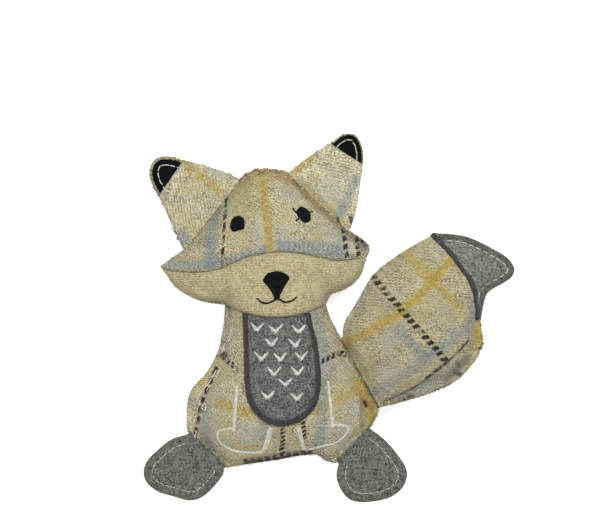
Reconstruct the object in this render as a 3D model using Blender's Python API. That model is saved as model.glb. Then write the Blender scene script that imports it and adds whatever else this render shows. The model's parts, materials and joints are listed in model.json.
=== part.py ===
"""Plush fox: a small stuffed pet toy, lying on its back.

The toy is cut from flat pattern pieces and stuffed. The seam plane is level, the
front of the fox faces +Z and its head points to +Y. Left and right are as seen
from the front, so the left ear is on the -X side. Pattern coordinates start at
the middle of the neck; one empty moves the whole toy over the origin. Each ear,
foot and the tail folds about the straight seam that holds its root.
"""
import math

import bmesh
import bpy
import numpy as np
from mathutils import Matrix, Vector
from mathutils.geometry import delaunay_2d_cdt

# Driving sizes of the toy, in metres
HEAD_WIDTH = 0.0871
HEAD_HEIGHT = 0.0564
HEAD_THICKNESS = 0.0335
NECK_WIDTH = 0.0420
CHIN_DROP = 0.0050
BODY_WIDTH = 0.0799
BODY_LENGTH = 0.0676
BODY_THICKNESS = 0.0370
LEFT_EAR_LENGTH = 0.0325
RIGHT_EAR_LENGTH = 0.0302
EAR_SWELL = 0.0016
TAIL_WIDTH = 0.0579
TAIL_LENGTH = 0.0773
TAIL_THICKNESS = 0.0300
TAIL_BAND_WIDTH = 0.0021
FOOT_WIDTH = 0.0276
FOOT_LENGTH = 0.0270
SEAM_HEIGHT = 0.0165
REST_CUT = 0.0005

# Cloth, seams and the space that touching layers keep
FABRIC = 0.0010
FELT = 0.0012
FLANGE = 0.0035
EAR_FLANGE = 0.0030
CLEARANCE = 0.0003
STUFFING_INSET = 0.0022
NECK_BLEND = 0.0100
SEAM_OVERRUN = 0.0030
ROOT_NECK = 0.0030

# Trim sewn on the front
PATCH_WIDTH = 0.0315
PATCH_LENGTH = 0.0465
PATCH_BORDER = 0.0021
CHEVRON_WIDTH = 0.0051
CHEVRON_HEIGHT = 0.0036
THREAD_WIDTH = 0.0013
THREAD_RISE = 0.0007
LEG_THREAD_WIDTH = 0.0015
NOSE_WIDTH = 0.0106
NOSE_HEIGHT = 0.0098
MOUTH_WIDTH = 0.0162
MOUTH_HEIGHT = 0.0027
MOUTH_THREAD_WIDTH = 0.0010
EYE_WIDTH = 0.0054
EYE_HEIGHT = 0.0058

# Squeaker in the body
SQUEAKER_RADIUS = 0.0145
SQUEAKER_HEIGHT = 0.0110
SQUEAKER_NECK_RADIUS = 0.0048
SQUEAKER_NECK_HEIGHT = 0.0040
REED_RADIUS = 0.0030
REED_DEPTH = 0.0060
REED_FLANGE_RADIUS = 0.0042
REED_FLANGE_HEIGHT = 0.0010
SQUEAKER_SHOULDER = 0.0024

# Lengths of the facets
EDGE_STEP = 0.0050
FLAP_EDGE_STEP = 0.0036
SHEET_STEP = 0.0062
FLAP_STEP = 0.0080
TRIM_STEP = 0.0028
MERGE_DISTANCE = 0.00003

# Sizes that outlines are shares of: across, then along
HEAD_SIZE = (HEAD_WIDTH, HEAD_HEIGHT)
BODY_SIZE = (BODY_WIDTH, BODY_LENGTH)
CHIN_SIZE = (NECK_WIDTH, CHIN_DROP)
TAIL_SIZE = (TAIL_WIDTH, TAIL_LENGTH)
FOOT_SIZE = (FOOT_WIDTH, FOOT_LENGTH)
PATCH_SIZE = (PATCH_WIDTH, PATCH_LENGTH)

# Outlines as shares of the named sizes, from the middle of the neck
MUZZLE_LEFT_SHARES = [(-0.33, 0.02), (-0.4, 0.055), (-0.475, 0.13), (-0.52, 0.225), (-0.55, 0.285)]
BROW_LEFT_SHARES = [(-0.55, 0.285), (-0.5, 0.34), (-0.44, 0.405)]
CROWN_SHARES = [(-0.17, 0.935), (-0.12, 0.98), (-0.065, 1), (0, 0.995), (0.06, 0.98)]
CHEEK_RIGHT_SHARES = [(0.355, 0.545), (0.4, 0.5), (0.435, 0.455), (0.45, 0.405), (0.43, 0.34)]
MUZZLE_RIGHT_SHARES = [(0.43, 0.34), (0.415, 0.245), (0.375, 0.16), (0.315, 0.105), (0.265, 0.075)]
SHOULDER_RIGHT_SHARES = [(0.275, -0.045), (0.3, -0.115), (0.335, -0.195)]
HIP_RIGHT_SHARES = [(0.54, -0.64), (0.525, -0.685), (0.495, -0.75)]
SEAT_SHARES = [(0.315, -0.97), (0.26, -0.955), (0.215, -0.92), (0.125, -0.925), (0.015, -0.95),
               (-0.16, -0.98), (-0.255, -1)]
HIP_LEFT_SHARES = [(-0.455, -0.78), (-0.46, -0.695), (-0.46, -0.62), (-0.445, -0.54),
                   (-0.415, -0.485), (-0.365, -0.425), (-0.325, -0.35), (-0.295, -0.27),
                   (-0.28, -0.195), (-0.27, -0.13)]
BROW_SEAM_SHARES = [(-0.55, 0.285), (-0.5, 0.25), (-0.365, 0.245), (-0.265, 0.27), (-0.12, 0.36),
                    (0.045, 0.39), (0.21, 0.355), (0.29, 0.33), (0.43, 0.345)]
CHIN_SEAM_SHARES = [(-0.5, 0), (-0.25, -0.75), (0, -1), (0.25, -0.75), (0.5, 0)]

# Widths of the flange along each stretch of the edge, as shares of its full width
MUZZLE_FLANGE_SHARES = (0.35, 0.35)
BROW_FLANGE_SHARES = (0.45, 0.5)
LEFT_EAR_FLANGE_SHARES = (0.3, 0.3)
CROWN_FLANGE_SHARES = (0.5, 0.7, 0.7)
RIGHT_EAR_FLANGE_SHARES = (0.6, 0.4)
CHEEK_FLANGE_SHARES = (0.5, 0.7, 0.5)
SHOULDER_FLANGE_SHARES = (0.35, 0.45)
TAIL_ROOT_FLANGE_SHARES = (0.5, 0.6, 1.0, 1.2)
HIP_RIGHT_FLANGE_SHARES = (1.2, 0.9)
FOOT_FLANGE_SHARES = (0.5, 0.5)
SEAT_FLANGE_SHARES = (0.4, 0.3, 0.3, 0.4)
HIP_LEFT_FLANGE_SHARES = (0.4, 1.4, 1.6, 1.3, 0.8, 0.4, 0.35)

# Flap outlines: along the seam as shares of the width, and out as shares of the length
LEFT_EAR_SHARES = [(-0.41, 0.195), (-0.33, 0.37), (-0.255, 0.535), (-0.2, 0.685), (-0.14, 0.845),
                   (-0.06, 0.955), (0.035, 1), (0.14, 0.97), (0.215, 0.86), (0.265, 0.73),
                   (0.35, 0.495), (0.42, 0.285)]
LEFT_EAR_TIP_SHARES = [(-0.6, 0.645), (0.6, 0.725)]
RIGHT_EAR_SHARES = [(-0.44, 0.385), (-0.37, 0.695), (-0.35, 0.85), (-0.285, 0.97), (-0.18, 1),
                    (-0.065, 0.94), (0.04, 0.83), (0.125, 0.7), (0.215, 0.55), (0.315, 0.38),
                    (0.405, 0.215)]
RIGHT_EAR_TIP_SHARES = [(-0.6, 0.635), (0.6, 0.89)]
TAIL_UPPER_SHARES = [(-0.37, 0.06), (-0.47, 0.185), (-0.575, 0.325), (-0.615, 0.51),
                     (-0.62, 0.695), (-0.61, 0.73), (-0.49, 0.855), (-0.31, 0.955), (-0.225, 0.99),
                     (-0.16, 1), (-0.12, 0.995), (-0.085, 0.965), (-0.075, 0.915), (-0.075, 0.845),
                     (-0.06, 0.8), (-0.005, 0.76), (0.085, 0.705)]
TAIL_LOWER_SHARES = [(0.085, 0.705), (0.13, 0.69), (0.205, 0.67), (0.255, 0.64), (0.315, 0.58),
                     (0.365, 0.485), (0.38, 0.4), (0.37, 0.3), (0.35, 0.2), (0.32, 0.1)]
TAIL_BAND_SHARES = [(-0.7, 0.695), (-0.61, 0.71), (-0.435, 0.73), (-0.29, 0.75), (-0.12, 0.745),
                    (-0.03, 0.73), (0.085, 0.705), (0.13, 0.72), (0.25, 0.8)]
RIGHT_FOOT_SHARES = [(-0.385, 0.29), (-0.36, 0.59), (-0.305, 0.82), (-0.195, 0.945), (-0.02, 1),
                     (0.215, 0.95), (0.485, 0.75), (0.62, 0.56), (0.615, 0.36), (0.525, 0.16)]
LEFT_FOOT_SHARES = [(-0.43, 0.13), (-0.45, 0.365), (-0.425, 0.59), (-0.315, 0.76), (-0.085, 0.885),
                    (0.115, 0.985), (0.33, 1), (0.48, 0.91), (0.55, 0.75), (0.545, 0.505),
                    (0.505, 0.255)]

# Trim outlines: the patch from the middle of its top edge, the rest in their own sizes
PATCH_PLACE_SHARE = 0.075
PATCH_SHARES = [(-0.495, -0.03), (-0.485, -0.295), (-0.485, -0.51), (-0.465, -0.69),
                (-0.415, -0.805), (-0.32, -0.9), (-0.18, -0.98), (0.02, -1), (0.205, -0.965),
                (0.335, -0.9), (0.455, -0.775), (0.505, -0.6), (0.495, -0.42), (0.455, -0.225),
                (0.38, -0.02)]
CHEVRON_PLACE_SHARES = [(-0.3, -0.165), (-0.07, -0.17), (0.23, -0.17), (-0.13, -0.3),
                        (0.17, -0.31), (-0.255, -0.42), (-0.02, -0.445), (0.26, -0.43),
                        (-0.095, -0.56), (0.215, -0.57), (0.045, -0.67), (-0.18, -0.775),
                        (0.205, -0.785)]
CHEVRON_SHARES = [(-0.5, 1), (-0.25, 0.5), (0, 0), (0.25, 0.5), (0.5, 1)]
LEFT_LEG_SHARES = [(-0.205, -0.495), (-0.21, -0.585), (-0.215, -0.675), (-0.23, -0.75),
                   (-0.28, -0.765), (-0.305, -0.81), (-0.28, -0.86), (-0.215, -0.895),
                   (-0.13, -0.905), (-0.07, -0.9), (-0.05, -0.865), (-0.035, -0.805),
                   (-0.028, -0.77)]
RIGHT_LEG_SHARES = [(0.27, -0.46), (0.28, -0.56), (0.295, -0.655), (0.31, -0.725),
                    (0.355, -0.735), (0.385, -0.77), (0.345, -0.83), (0.255, -0.865),
                    (0.16, -0.885), (0.145, -0.83), (0.13, -0.765)]
NOSE_PLACE_SHARES = (0.0, 0.155)
NOSE_SHARES = [(-0.5, 0.25), (-0.34, 0.44), (0, 0.5), (0.34, 0.44), (0.5, 0.25), (0.36, -0.05),
               (0.18, -0.35), (0, -0.5), (-0.18, -0.35), (-0.36, -0.05)]
MOUTH_SHARES = [(-0.5, -0.1), (-0.37, -0.5), (-0.22, -0.65), (-0.09, -0.4), (0, 0), (0.09, -0.4),
                (0.25, -0.6), (0.4, -0.3), (0.5, 0.25)]
LEFT_EYE_PLACE_SHARES = (-0.178, 0.596)
RIGHT_EYE_PLACE_SHARES = (0.131, 0.662)

# How each fold is drawn and how its root is rounded
ROOT_ROW_SHARES = (0.0, 0.5)
ROOT_END_SHARE = 0.9
GRID_MARGIN_SHARE = 0.55
RING_TOLERANCE_SHARE = 0.05
WIDTH_SMOOTHING_STEPS = 30
JOIN_SHARE = 0.00001
SHARP_ANGLE = math.radians(50)
CURVE_STEPS = 8
EYE_POINTS = 14
SQUEAKER_STEPS = 20
SQUEAKER_PLACE_SHARES = (0.04, -0.55)

# Surfaces: base colour, roughness and metallic value
MATERIALS = {
    "tweed": ((0.42, 0.37, 0.28, 1), 0.95, 0.0),
    "twill": ((0.50, 0.42, 0.28, 1), 0.95, 0.0),
    "grey_felt": ((0.13, 0.13, 0.13, 1), 1.0, 0.0),
    "black_felt": ((0.012, 0.012, 0.013, 1), 1.0, 0.0),
    "dark_satin": ((0.035, 0.035, 0.036, 1), 0.6, 0.0),
    "black_thread": ((0.008, 0.008, 0.008, 1), 0.5, 0.0),
    "white_thread": ((0.70, 0.68, 0.62, 1), 0.7, 0.0),
    "stuffing": ((0.80, 0.80, 0.78, 1), 1.0, 0.0),
    "squeaker_plastic": ((0.75, 0.75, 0.72, 1), 0.4, 0.0),
    "reed_plastic": ((0.10, 0.25, 0.55, 1), 0.35, 0.0),
}


class Sheet:
    """A triangulated flat pattern piece: points in the seam plane and triangles."""

    def __init__(self, xy, triangles):
        self.xy = xy
        self.triangles = triangles

    def centroids(self):
        return self.xy[self.triangles].mean(axis=1)

    def piece(self, mask):
        """The largest connected piece of the masked triangles."""
        chosen = self.triangles[mask]
        owner = np.arange(len(self.xy))
        changed = True
        while changed:
            lowest = owner[chosen].min(axis=1)
            before = owner.copy()
            for corner in range(3):
                np.minimum.at(owner, chosen[:, corner], lowest)
            changed = bool((owner != before).any())
        groups = owner[chosen[:, 0]]
        names, sizes = np.unique(groups, return_counts=True)
        return Sheet(self.xy, chosen[groups == names[sizes.argmax()]])


class Hinge:
    """A straight root seam, from start to end, with the flap on its left side."""

    def __init__(self, name, start, end, layer):
        self.name = name
        self.start = np.array(start)
        self.end = np.array(end)
        self.middle = (self.start + self.end) / 2
        self.span = float(np.linalg.norm(self.end - self.start))
        self.along = (self.end - self.start) / self.span
        self.out = np.array((-self.along[1], self.along[0]))
        self.radius = CLEARANCE / 2 + layer

    def place(self, points):
        """Pattern coordinates of points given along and out from the hinge."""
        points = np.array(points)
        return self.middle + points[:, :1] * self.along + points[:, 1:] * self.out

    def out_distance(self, xy):
        return (xy - self.middle) @ self.out

    def set_back(self):
        """The ends of the edge on the fixed side, clear of the rolled root."""
        step = self.out * (self.radius + CLEARANCE)
        return [self.start - step, self.end - step]

    def layer_rise(self, xy):
        """The half thickness of the flap, rounded about the hinge line at its root."""
        behind = np.clip(-self.out_distance(xy), 0, self.radius)
        return np.sqrt(self.radius ** 2 - behind ** 2)


def scaled(shares, size):
    """Points from shares of a width and a length."""
    return np.array(shares) * size


def smooth_curve(points, step):
    """A curve through the points, divided evenly into lengths of about one step."""
    points = np.array(points)
    padded = np.vstack((2 * points[0] - points[1], points, 2 * points[-1] - points[-2]))
    t = np.arange(CURVE_STEPS)[:, None] / CURVE_STEPS
    dense = []
    for a, b, c, d in zip(padded, padded[1:], padded[2:], padded[3:]):
        bend = (2 * a - 5 * b + 4 * c - d) * t ** 2 + (3 * b - a - 3 * c + d) * t ** 3
        dense.append((2 * b + (c - a) * t + bend) / 2)
    dense.append(points[-1:])
    return divided(np.vstack(dense), step)


def divided(points, step):
    """An open line, and any values it carries, divided evenly into lengths of about one step."""
    lengths = np.linalg.norm(np.diff(points[:, :2], axis=0), axis=1)
    reach = np.concatenate(([0], np.cumsum(lengths)))
    count = max(1, round(reach[-1] / step))
    at = np.linspace(0, reach[-1], count + 1)
    return np.column_stack([np.interp(at, reach, column) for column in points.T])


def loop_of(stretches):
    """A closed loop of open stretches that meet end to end."""
    return np.vstack([stretch[:-1] for stretch in stretches])


def is_inside(loop, points):
    """Which points lie inside a closed loop."""
    found = np.zeros(len(points), bool)
    for (ax, ay), (bx, by) in zip(loop, np.roll(loop, -1, axis=0)):
        if ay == by:
            continue
        crosses = (ay > points[:, 1]) != (by > points[:, 1])
        found ^= crosses & (points[:, 0] < (bx - ax) * (points[:, 1] - ay) / (by - ay) + ax)
    return found


def distance_to(line, points):
    """The distance from each point to an open line."""
    best = np.full(len(points), np.inf)
    for a, b in zip(line, line[1:]):
        run = b - a
        t = np.clip((points - a) @ run / (run @ run), 0, 1)
        best = np.minimum(best, np.linalg.norm(points - a - t[:, None] * run, axis=1))
    return best


def closed(loop):
    return np.vstack((loop, loop[:1]))


def inset(loop, widths, step):
    """A closed loop drawn in by a width at each of its points, without crossing itself."""
    ring = np.column_stack((closed(loop), np.append(widths, widths[0])))
    dense = divided(ring, step / CURVE_STEPS)[:-1]
    width = dense[:, 2]
    for _ in range(WIDTH_SMOOTHING_STEPS):
        width = (np.roll(width, 1) + 2 * width + np.roll(width, -1)) / 4
    dense = dense[:, :2]
    run = np.roll(dense, -1, axis=0) - np.roll(dense, 1, axis=0)
    normal = np.column_stack((-run[:, 1], run[:, 0])) / np.linalg.norm(run, axis=1)[:, None]
    area = (dense[:, 0] * np.roll(dense[:, 1], -1) - np.roll(dense[:, 0], -1) * dense[:, 1]).sum()
    moved = dense + normal * width[:, None] * math.copysign(1, area)
    gaps = np.linalg.norm(moved[:, None] - dense[None], axis=2)
    clear = (gaps > width * (1 - RING_TOLERANCE_SHARE)).all(axis=1)
    kept = moved[clear & is_inside(dense, moved)]
    return divided(closed(kept), step)[:-1]


def beside(line, distance):
    """An open line moved sideways to its left."""
    run = np.gradient(line, axis=0)
    normal = np.column_stack((-run[:, 1], run[:, 0])) / np.linalg.norm(run, axis=1)[:, None]
    return line + normal * distance


def triangulate(loop, lines, step):
    """A sheet inside the loop whose triangles follow every given line."""
    low = loop.min(axis=0)
    high = loop.max(axis=0)
    row = step * math.sqrt(3) / 2
    grid = []
    for j in range(math.floor(low[1] / row), math.ceil(high[1] / row) + 1):
        shift = (j % 2) / 2
        for i in range(math.floor(low[0] / step) - 1, math.ceil(high[0] / step) + 1):
            grid.append(((i + shift) * step, j * row))
    grid = np.array(grid)
    keep = is_inside(loop, grid)
    for line in [closed(loop)] + lines:
        keep &= distance_to(line, grid) > GRID_MARGIN_SHARE * step
    points = list(loop)
    edges = [(i, (i + 1) % len(loop)) for i in range(len(loop))]
    for line in lines:
        start = len(points)
        is_ring = bool(np.allclose(line[0], line[-1]))
        points.extend(line[:-1] if is_ring else line)
        count = len(points) - start
        edges.extend((start + i, start + (i + 1) % count) for i in range(count - (not is_ring)))
    points.extend(grid[keep])
    return joined_up(points, edges, step, loop)


def joined_up(points, edges, step, loop):
    """A sheet inside the loop, triangulated along the given edges."""
    flat = [Vector(point / step) for point in points]
    result = delaunay_2d_cdt(flat, edges, [], 0, JOIN_SHARE)
    xy = np.array([tuple(point) for point in result[0]]) * step
    sheet = Sheet(xy, np.array(result[2]))
    return sheet.piece(is_inside(loop, sheet.centroids()))


def swell_shape(sheet, ring):
    """How far a pressed sheet swells inside the ring, in its own plane's lengths."""
    used = np.unique(sheet.triangles)
    free = np.zeros(len(sheet.xy), bool)
    free[used] = is_inside(ring, sheet.xy[used])
    edge_gap = distance_to(closed(ring), sheet.xy)
    free &= edge_gap > CLEARANCE / 2
    stiffness = np.zeros((len(sheet.xy), len(sheet.xy)))
    load = np.zeros(len(sheet.xy))
    for corners in sheet.triangles:
        p = sheet.xy[corners]
        side = np.array([p[2] - p[1], p[0] - p[2], p[1] - p[0]])
        twice_area = abs(side[0][0] * side[1][1] - side[0][1] * side[1][0])
        stiffness[np.ix_(corners, corners)] += side @ side.T / (2 * twice_area)
        load[corners] += twice_area / 6
    height = np.zeros(len(sheet.xy))
    height[free] = np.linalg.solve(stiffness[np.ix_(free, free)], load[free])
    return np.sqrt(np.maximum(height, 0))


def height_on(sheet, heights, points):
    """The height of a sheet's surface over each point."""
    p = sheet.xy[sheet.triangles]
    origin = p[:, 0]
    u = p[:, 1] - origin
    v = p[:, 2] - origin
    det = u[:, 0] * v[:, 1] - u[:, 1] * v[:, 0]
    values = []
    for point in points:
        w = point - origin
        b = (w[:, 0] * v[:, 1] - w[:, 1] * v[:, 0]) / det
        c = (u[:, 0] * w[:, 1] - u[:, 1] * w[:, 0]) / det
        weights = np.column_stack((1 - b - c, b, c))
        best = weights.min(axis=1).argmax()
        values.append(weights[best] @ heights[sheet.triangles[best]])
    return np.array(values)


def make_material(name):
    colour, roughness, metallic = MATERIALS[name]
    material = bpy.data.materials.new(name)
    material.use_nodes = True
    shader = material.node_tree.nodes["Principled BSDF"]
    shader.inputs["Base Color"].default_value = colour
    shader.inputs["Roughness"].default_value = roughness
    shader.inputs["Metallic"].default_value = metallic
    return material


def add_object(name, bm, material, parent):
    """An object from a bmesh whose points are pattern coordinates."""
    bmesh.ops.recalc_face_normals(bm, faces=bm.faces[:])
    bm.transform(parent["to_local"])
    mesh = bpy.data.meshes.new(name)
    bm.to_mesh(mesh)
    bm.free()
    mesh.materials.append(make_material(material))
    mesh.shade_smooth()
    mesh.set_sharp_from_angle(angle=SHARP_ANGLE)
    thing = bpy.data.objects.new(name, mesh)
    bpy.context.collection.objects.link(thing)
    thing.parent = parent["empty"]
    return thing


def add_layer(name, sheet, low, high, material, parent):
    """A closed layer of cloth: the sheet at its low height, raised to its high one."""
    bm = bmesh.new()
    raised_to = bm.verts.layers.float.new("raised_to")
    corners = {}
    for index in np.unique(sheet.triangles):
        x, y = sheet.xy[index]
        corners[index] = bm.verts.new((x, y, low[index]))
        corners[index][raised_to] = high[index]
    for triangle in sheet.triangles:
        bm.faces.new([corners[index] for index in triangle])
    raised = bmesh.ops.extrude_face_region(bm, geom=bm.faces[:])["geom"]
    for vert in raised:
        if isinstance(vert, bmesh.types.BMVert):
            vert.co.z = vert[raised_to]
    return add_object(name, bm, material, parent)


def add_hinge(hinge, toy):
    """An empty on the hinge line, with its own X axis along that line."""
    empty = bpy.data.objects.new(hinge.name, None)
    bpy.context.collection.objects.link(empty)
    x, y = hinge.middle
    turn = math.atan2(hinge.along[1], hinge.along[0])
    empty.location = (x, y, SEAM_HEIGHT)
    empty.rotation_euler = (0, 0, turn)
    empty.parent = toy["empty"]
    matrix = Matrix.Translation((x, y, SEAM_HEIGHT)) @ Matrix.Rotation(turn, 4, "Z")
    return {"empty": empty, "to_local": matrix.inverted()}


def stroke(points, width):
    """The closed outline of a ribbon of thread that follows an open line."""
    points = np.array(points)
    return np.vstack((beside(points, width / 2), beside(points, -width / 2)[::-1]))


def drape(loop, base):
    """A sheet inside the loop that bends only where the sheet below it bends."""
    low = loop.min(axis=0)
    high = loop.max(axis=0)
    points = list(loop)
    edges = [(i, (i + 1) % len(loop)) for i in range(len(loop))]
    sides = np.vstack([base.triangles[:, [i, (i + 1) % 3]] for i in range(3)])
    for a, b in np.unique(np.sort(sides, axis=1), axis=0):
        ends = base.xy[[a, b]]
        if (ends.max(axis=0) > low).all() and (ends.min(axis=0) < high).all():
            edges.append((len(points), len(points) + 1))
            points.extend(ends)
    return joined_up(points, edges, TRIM_STEP, loop)


class Torso:
    """Head and body: one stuffed bag, sewn round its edge and drawn in at the neck."""

    def __init__(self):
        neck_left = np.array((-NECK_WIDTH / 2, 0))
        neck_right = np.array((NECK_WIDTH / 2, 0))
        muzzle_left = scaled(MUZZLE_LEFT_SHARES, HEAD_SIZE)
        brow_left = scaled(BROW_LEFT_SHARES, HEAD_SIZE)
        crown = scaled(CROWN_SHARES, HEAD_SIZE)
        cheek_right = scaled(CHEEK_RIGHT_SHARES, HEAD_SIZE)
        muzzle_right = scaled(MUZZLE_RIGHT_SHARES, HEAD_SIZE)
        shoulder = scaled(SHOULDER_RIGHT_SHARES, BODY_SIZE)
        hip_right = scaled(HIP_RIGHT_SHARES, BODY_SIZE)
        seat = scaled(SEAT_SHARES, BODY_SIZE)
        hip_left = scaled(HIP_LEFT_SHARES, BODY_SIZE)
        self.left_ear = Hinge("left_ear_hinge", brow_left[-1], crown[0], FABRIC)
        self.right_ear = Hinge("right_ear_hinge", crown[-1], cheek_right[0], FABRIC)
        self.tail = Hinge("tail_hinge", shoulder[-1], hip_right[0], FABRIC)
        self.right_foot = Hinge("right_foot_hinge", hip_right[-1], seat[0], FELT)
        self.left_foot = Hinge("left_foot_hinge", seat[-1], hip_left[0], FELT)
        curves = [
            (np.vstack((neck_left, muzzle_left)), MUZZLE_FLANGE_SHARES),
            (brow_left, BROW_FLANGE_SHARES),
            (self.left_ear, LEFT_EAR_FLANGE_SHARES),
            (crown, CROWN_FLANGE_SHARES),
            (self.right_ear, RIGHT_EAR_FLANGE_SHARES),
            (cheek_right, CHEEK_FLANGE_SHARES),
            (np.vstack((muzzle_right, neck_right)), MUZZLE_FLANGE_SHARES),
            (np.vstack((neck_right, shoulder)), SHOULDER_FLANGE_SHARES),
            (self.tail, TAIL_ROOT_FLANGE_SHARES),
            (hip_right, HIP_RIGHT_FLANGE_SHARES),
            (self.right_foot, FOOT_FLANGE_SHARES),
            (seat, SEAT_FLANGE_SHARES),
            (self.left_foot, FOOT_FLANGE_SHARES),
            (np.vstack((hip_left, neck_left)), HIP_LEFT_FLANGE_SHARES),
        ]
        stretches = []
        widths = []
        for curve, shares in curves:
            if isinstance(curve, Hinge):
                start, end = curve.set_back()
                edge = divided(np.array((start, end)), EDGE_STEP)
                stretches.append(np.vstack((curve.start, edge, curve.end)))
            else:
                stretches.append(smooth_curve(curve, EDGE_STEP))
            at = np.linspace(0, len(shares) - 1, len(stretches[-1]))[:-1]
            widths.extend(np.interp(at, range(len(shares)), shares))
        self.loop = loop_of(stretches)
        flange = np.array(widths) * FLANGE
        self.flange_ring = inset(self.loop, flange, EDGE_STEP)
        self.stuffing_ring = inset(self.loop, flange + STUFFING_INSET, EDGE_STEP)
        self.brow = self.seam(scaled(BROW_SEAM_SHARES, HEAD_SIZE))
        self.chin = self.seam(scaled(CHIN_SEAM_SHARES, CHIN_SIZE))
        lines = [closed(self.flange_ring), closed(self.stuffing_ring)]
        lines += [beside(seam, side) for seam in (self.brow, self.chin)
                  for side in (CLEARANCE / 2, -CLEARANCE / 2)]
        self.sheet = triangulate(self.loop, lines, SHEET_STEP)
        self.set_heights()

    @staticmethod
    def seam(points):
        """A seam that runs out over the edge at both of its ends."""
        line = smooth_curve(points, EDGE_STEP)
        first = line[0] + (line[0] - line[1]) * (SEAM_OVERRUN / EDGE_STEP)
        last = line[-1] + (line[-1] - line[-2]) * (SEAM_OVERRUN / EDGE_STEP)
        return np.vstack((first, line, last))

    def set_heights(self):
        """Inner and outer heights of the front and back cloth at every point."""
        y = self.sheet.xy[:, 1]
        shape = swell_shape(self.sheet, self.flange_ring)
        t = np.clip(y / NECK_BLEND / 2 + 1 / 2, 0, 1)
        in_head = t * t * (3 - 2 * t)
        share = shape * (in_head / shape[y > 0].max() + (1 - in_head) / shape[y < 0].max())
        thickness = in_head * HEAD_THICKNESS + (1 - in_head) * BODY_THICKNESS
        layer = CLEARANCE / 2 + FABRIC
        self.front_low = SEAM_HEIGHT + CLEARANCE / 2 + share * (thickness - SEAM_HEIGHT - layer)
        self.front_high = self.front_low + FABRIC
        back = SEAM_HEIGHT - layer - share * (SEAM_HEIGHT - layer + REST_CUT)
        self.back_low = np.maximum(back, 0)
        self.back_high = self.back_low + FABRIC

    def above(self, line, side):
        """Triangles on one side of a seam: 1 for above it, -1 for below it."""
        middle = self.sheet.centroids()
        edge = beside(line, side * CLEARANCE / 2)
        return (middle[:, 1] - np.interp(middle[:, 0], edge[:, 0], edge[:, 1])) * side > 0

    def build(self, toy):
        forehead = self.sheet.piece(self.above(self.brow, 1))
        muzzle = self.sheet.piece(self.above(self.brow, -1) & self.above(self.chin, 1))
        head = self.sheet.piece(self.above(self.chin, 1))
        body = self.sheet.piece(self.above(self.chin, -1))
        add_layer("forehead_panel", forehead, self.front_low, self.front_high, "tweed", toy)
        add_layer("muzzle_panel", muzzle, self.front_low, self.front_high, "twill", toy)
        add_layer("head_back_panel", head, self.back_low, self.back_high, "tweed", toy)
        add_layer("body_front_panel", body, self.front_low, self.front_high, "tweed", toy)
        add_layer("body_back_panel", body, self.back_low, self.back_high, "tweed", toy)
        low = self.back_high + CLEARANCE
        high = self.front_low - CLEARANCE
        filled = is_inside(self.stuffing_ring, self.sheet.centroids())
        head = self.sheet.piece(filled & self.above(self.chin, 1))
        body = self.sheet.piece(filled & self.above(self.chin, -1))
        add_layer("head_stuffing", head, low, high, "stuffing", toy)
        self.stuffing = add_layer("body_stuffing", body, low, high, "stuffing", toy)


def add_trim(name, loop, base, floor, rise, material, toy):
    """Thread or felt that lies on the cloth below it."""
    sheet = drape(loop, base)
    low = height_on(base, floor, sheet.xy) + CLEARANCE
    add_layer(name, sheet, low, low + rise, material, toy)
    return sheet, low + rise


def build_patch(torso, toy):
    """The felt tummy patch, its satin border and the chevrons on it."""
    place = np.array((PATCH_PLACE_SHARE * NECK_WIDTH, -CHIN_DROP))
    edge = smooth_curve(place + scaled(PATCH_SHARES, PATCH_SIZE), EDGE_STEP)
    border = stroke(beside(edge, PATCH_BORDER / 2), PATCH_BORDER)
    add_trim("tummy_border", border, torso.sheet, torso.front_high, FELT, "dark_satin", toy)
    loop = beside(edge, PATCH_BORDER + CLEARANCE)
    felt = add_trim("tummy_patch", loop, torso.sheet, torso.front_high, FELT, "grey_felt", toy)
    arms = scaled(CHEVRON_SHARES, (CHEVRON_WIDTH, CHEVRON_HEIGHT))
    tips = place + scaled(CHEVRON_PLACE_SHARES, PATCH_SIZE)
    for number, tip in enumerate(tips, 1):
        loop = stroke(tip + arms, THREAD_WIDTH)
        add_trim(f"chevron_{number:02d}", loop, *felt, THREAD_RISE, "white_thread", toy)


def build_face(torso, toy):
    """Embroidered nose, mouth and eyes."""
    cloth = (torso.sheet, torso.front_high)
    place = scaled(NOSE_PLACE_SHARES, HEAD_SIZE)
    nose = place + scaled(NOSE_SHARES, (NOSE_WIDTH, NOSE_HEIGHT))
    nose = smooth_curve(closed(nose), TRIM_STEP)[:-1]
    add_trim("nose", nose, *cloth, THREAD_RISE, "black_thread", toy)
    place[1] -= NOSE_HEIGHT / 2 + MOUTH_THREAD_WIDTH / 2 + CLEARANCE
    mouth = place + scaled(MOUTH_SHARES, (MOUTH_WIDTH, MOUTH_HEIGHT))
    mouth = stroke(smooth_curve(mouth, MOUTH_THREAD_WIDTH), MOUTH_THREAD_WIDTH)
    add_trim("mouth", mouth, *cloth, THREAD_RISE, "black_thread", toy)
    turn = np.arange(EYE_POINTS) * math.tau / EYE_POINTS
    ring = np.column_stack((np.cos(turn) * EYE_WIDTH / 2, np.sin(turn) * EYE_HEIGHT / 2))
    for name, shares in (("left_eye", LEFT_EYE_PLACE_SHARES), ("right_eye", RIGHT_EYE_PLACE_SHARES)):
        add_trim(name, scaled(shares, HEAD_SIZE) + ring, *cloth, THREAD_RISE, "black_thread", toy)


def build_legs(torso, toy):
    """The two leg outlines embroidered on the body."""
    cloth = (torso.sheet, torso.front_high)
    for side, shares in (("left", LEFT_LEG_SHARES), ("right", RIGHT_LEG_SHARES)):
        line = smooth_curve(scaled(shares, BODY_SIZE), TRIM_STEP)
        loop = stroke(line, LEG_THREAD_WIDTH)
        add_trim(f"{side}_leg_outline", loop, *cloth, THREAD_RISE, "white_thread", toy)


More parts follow.
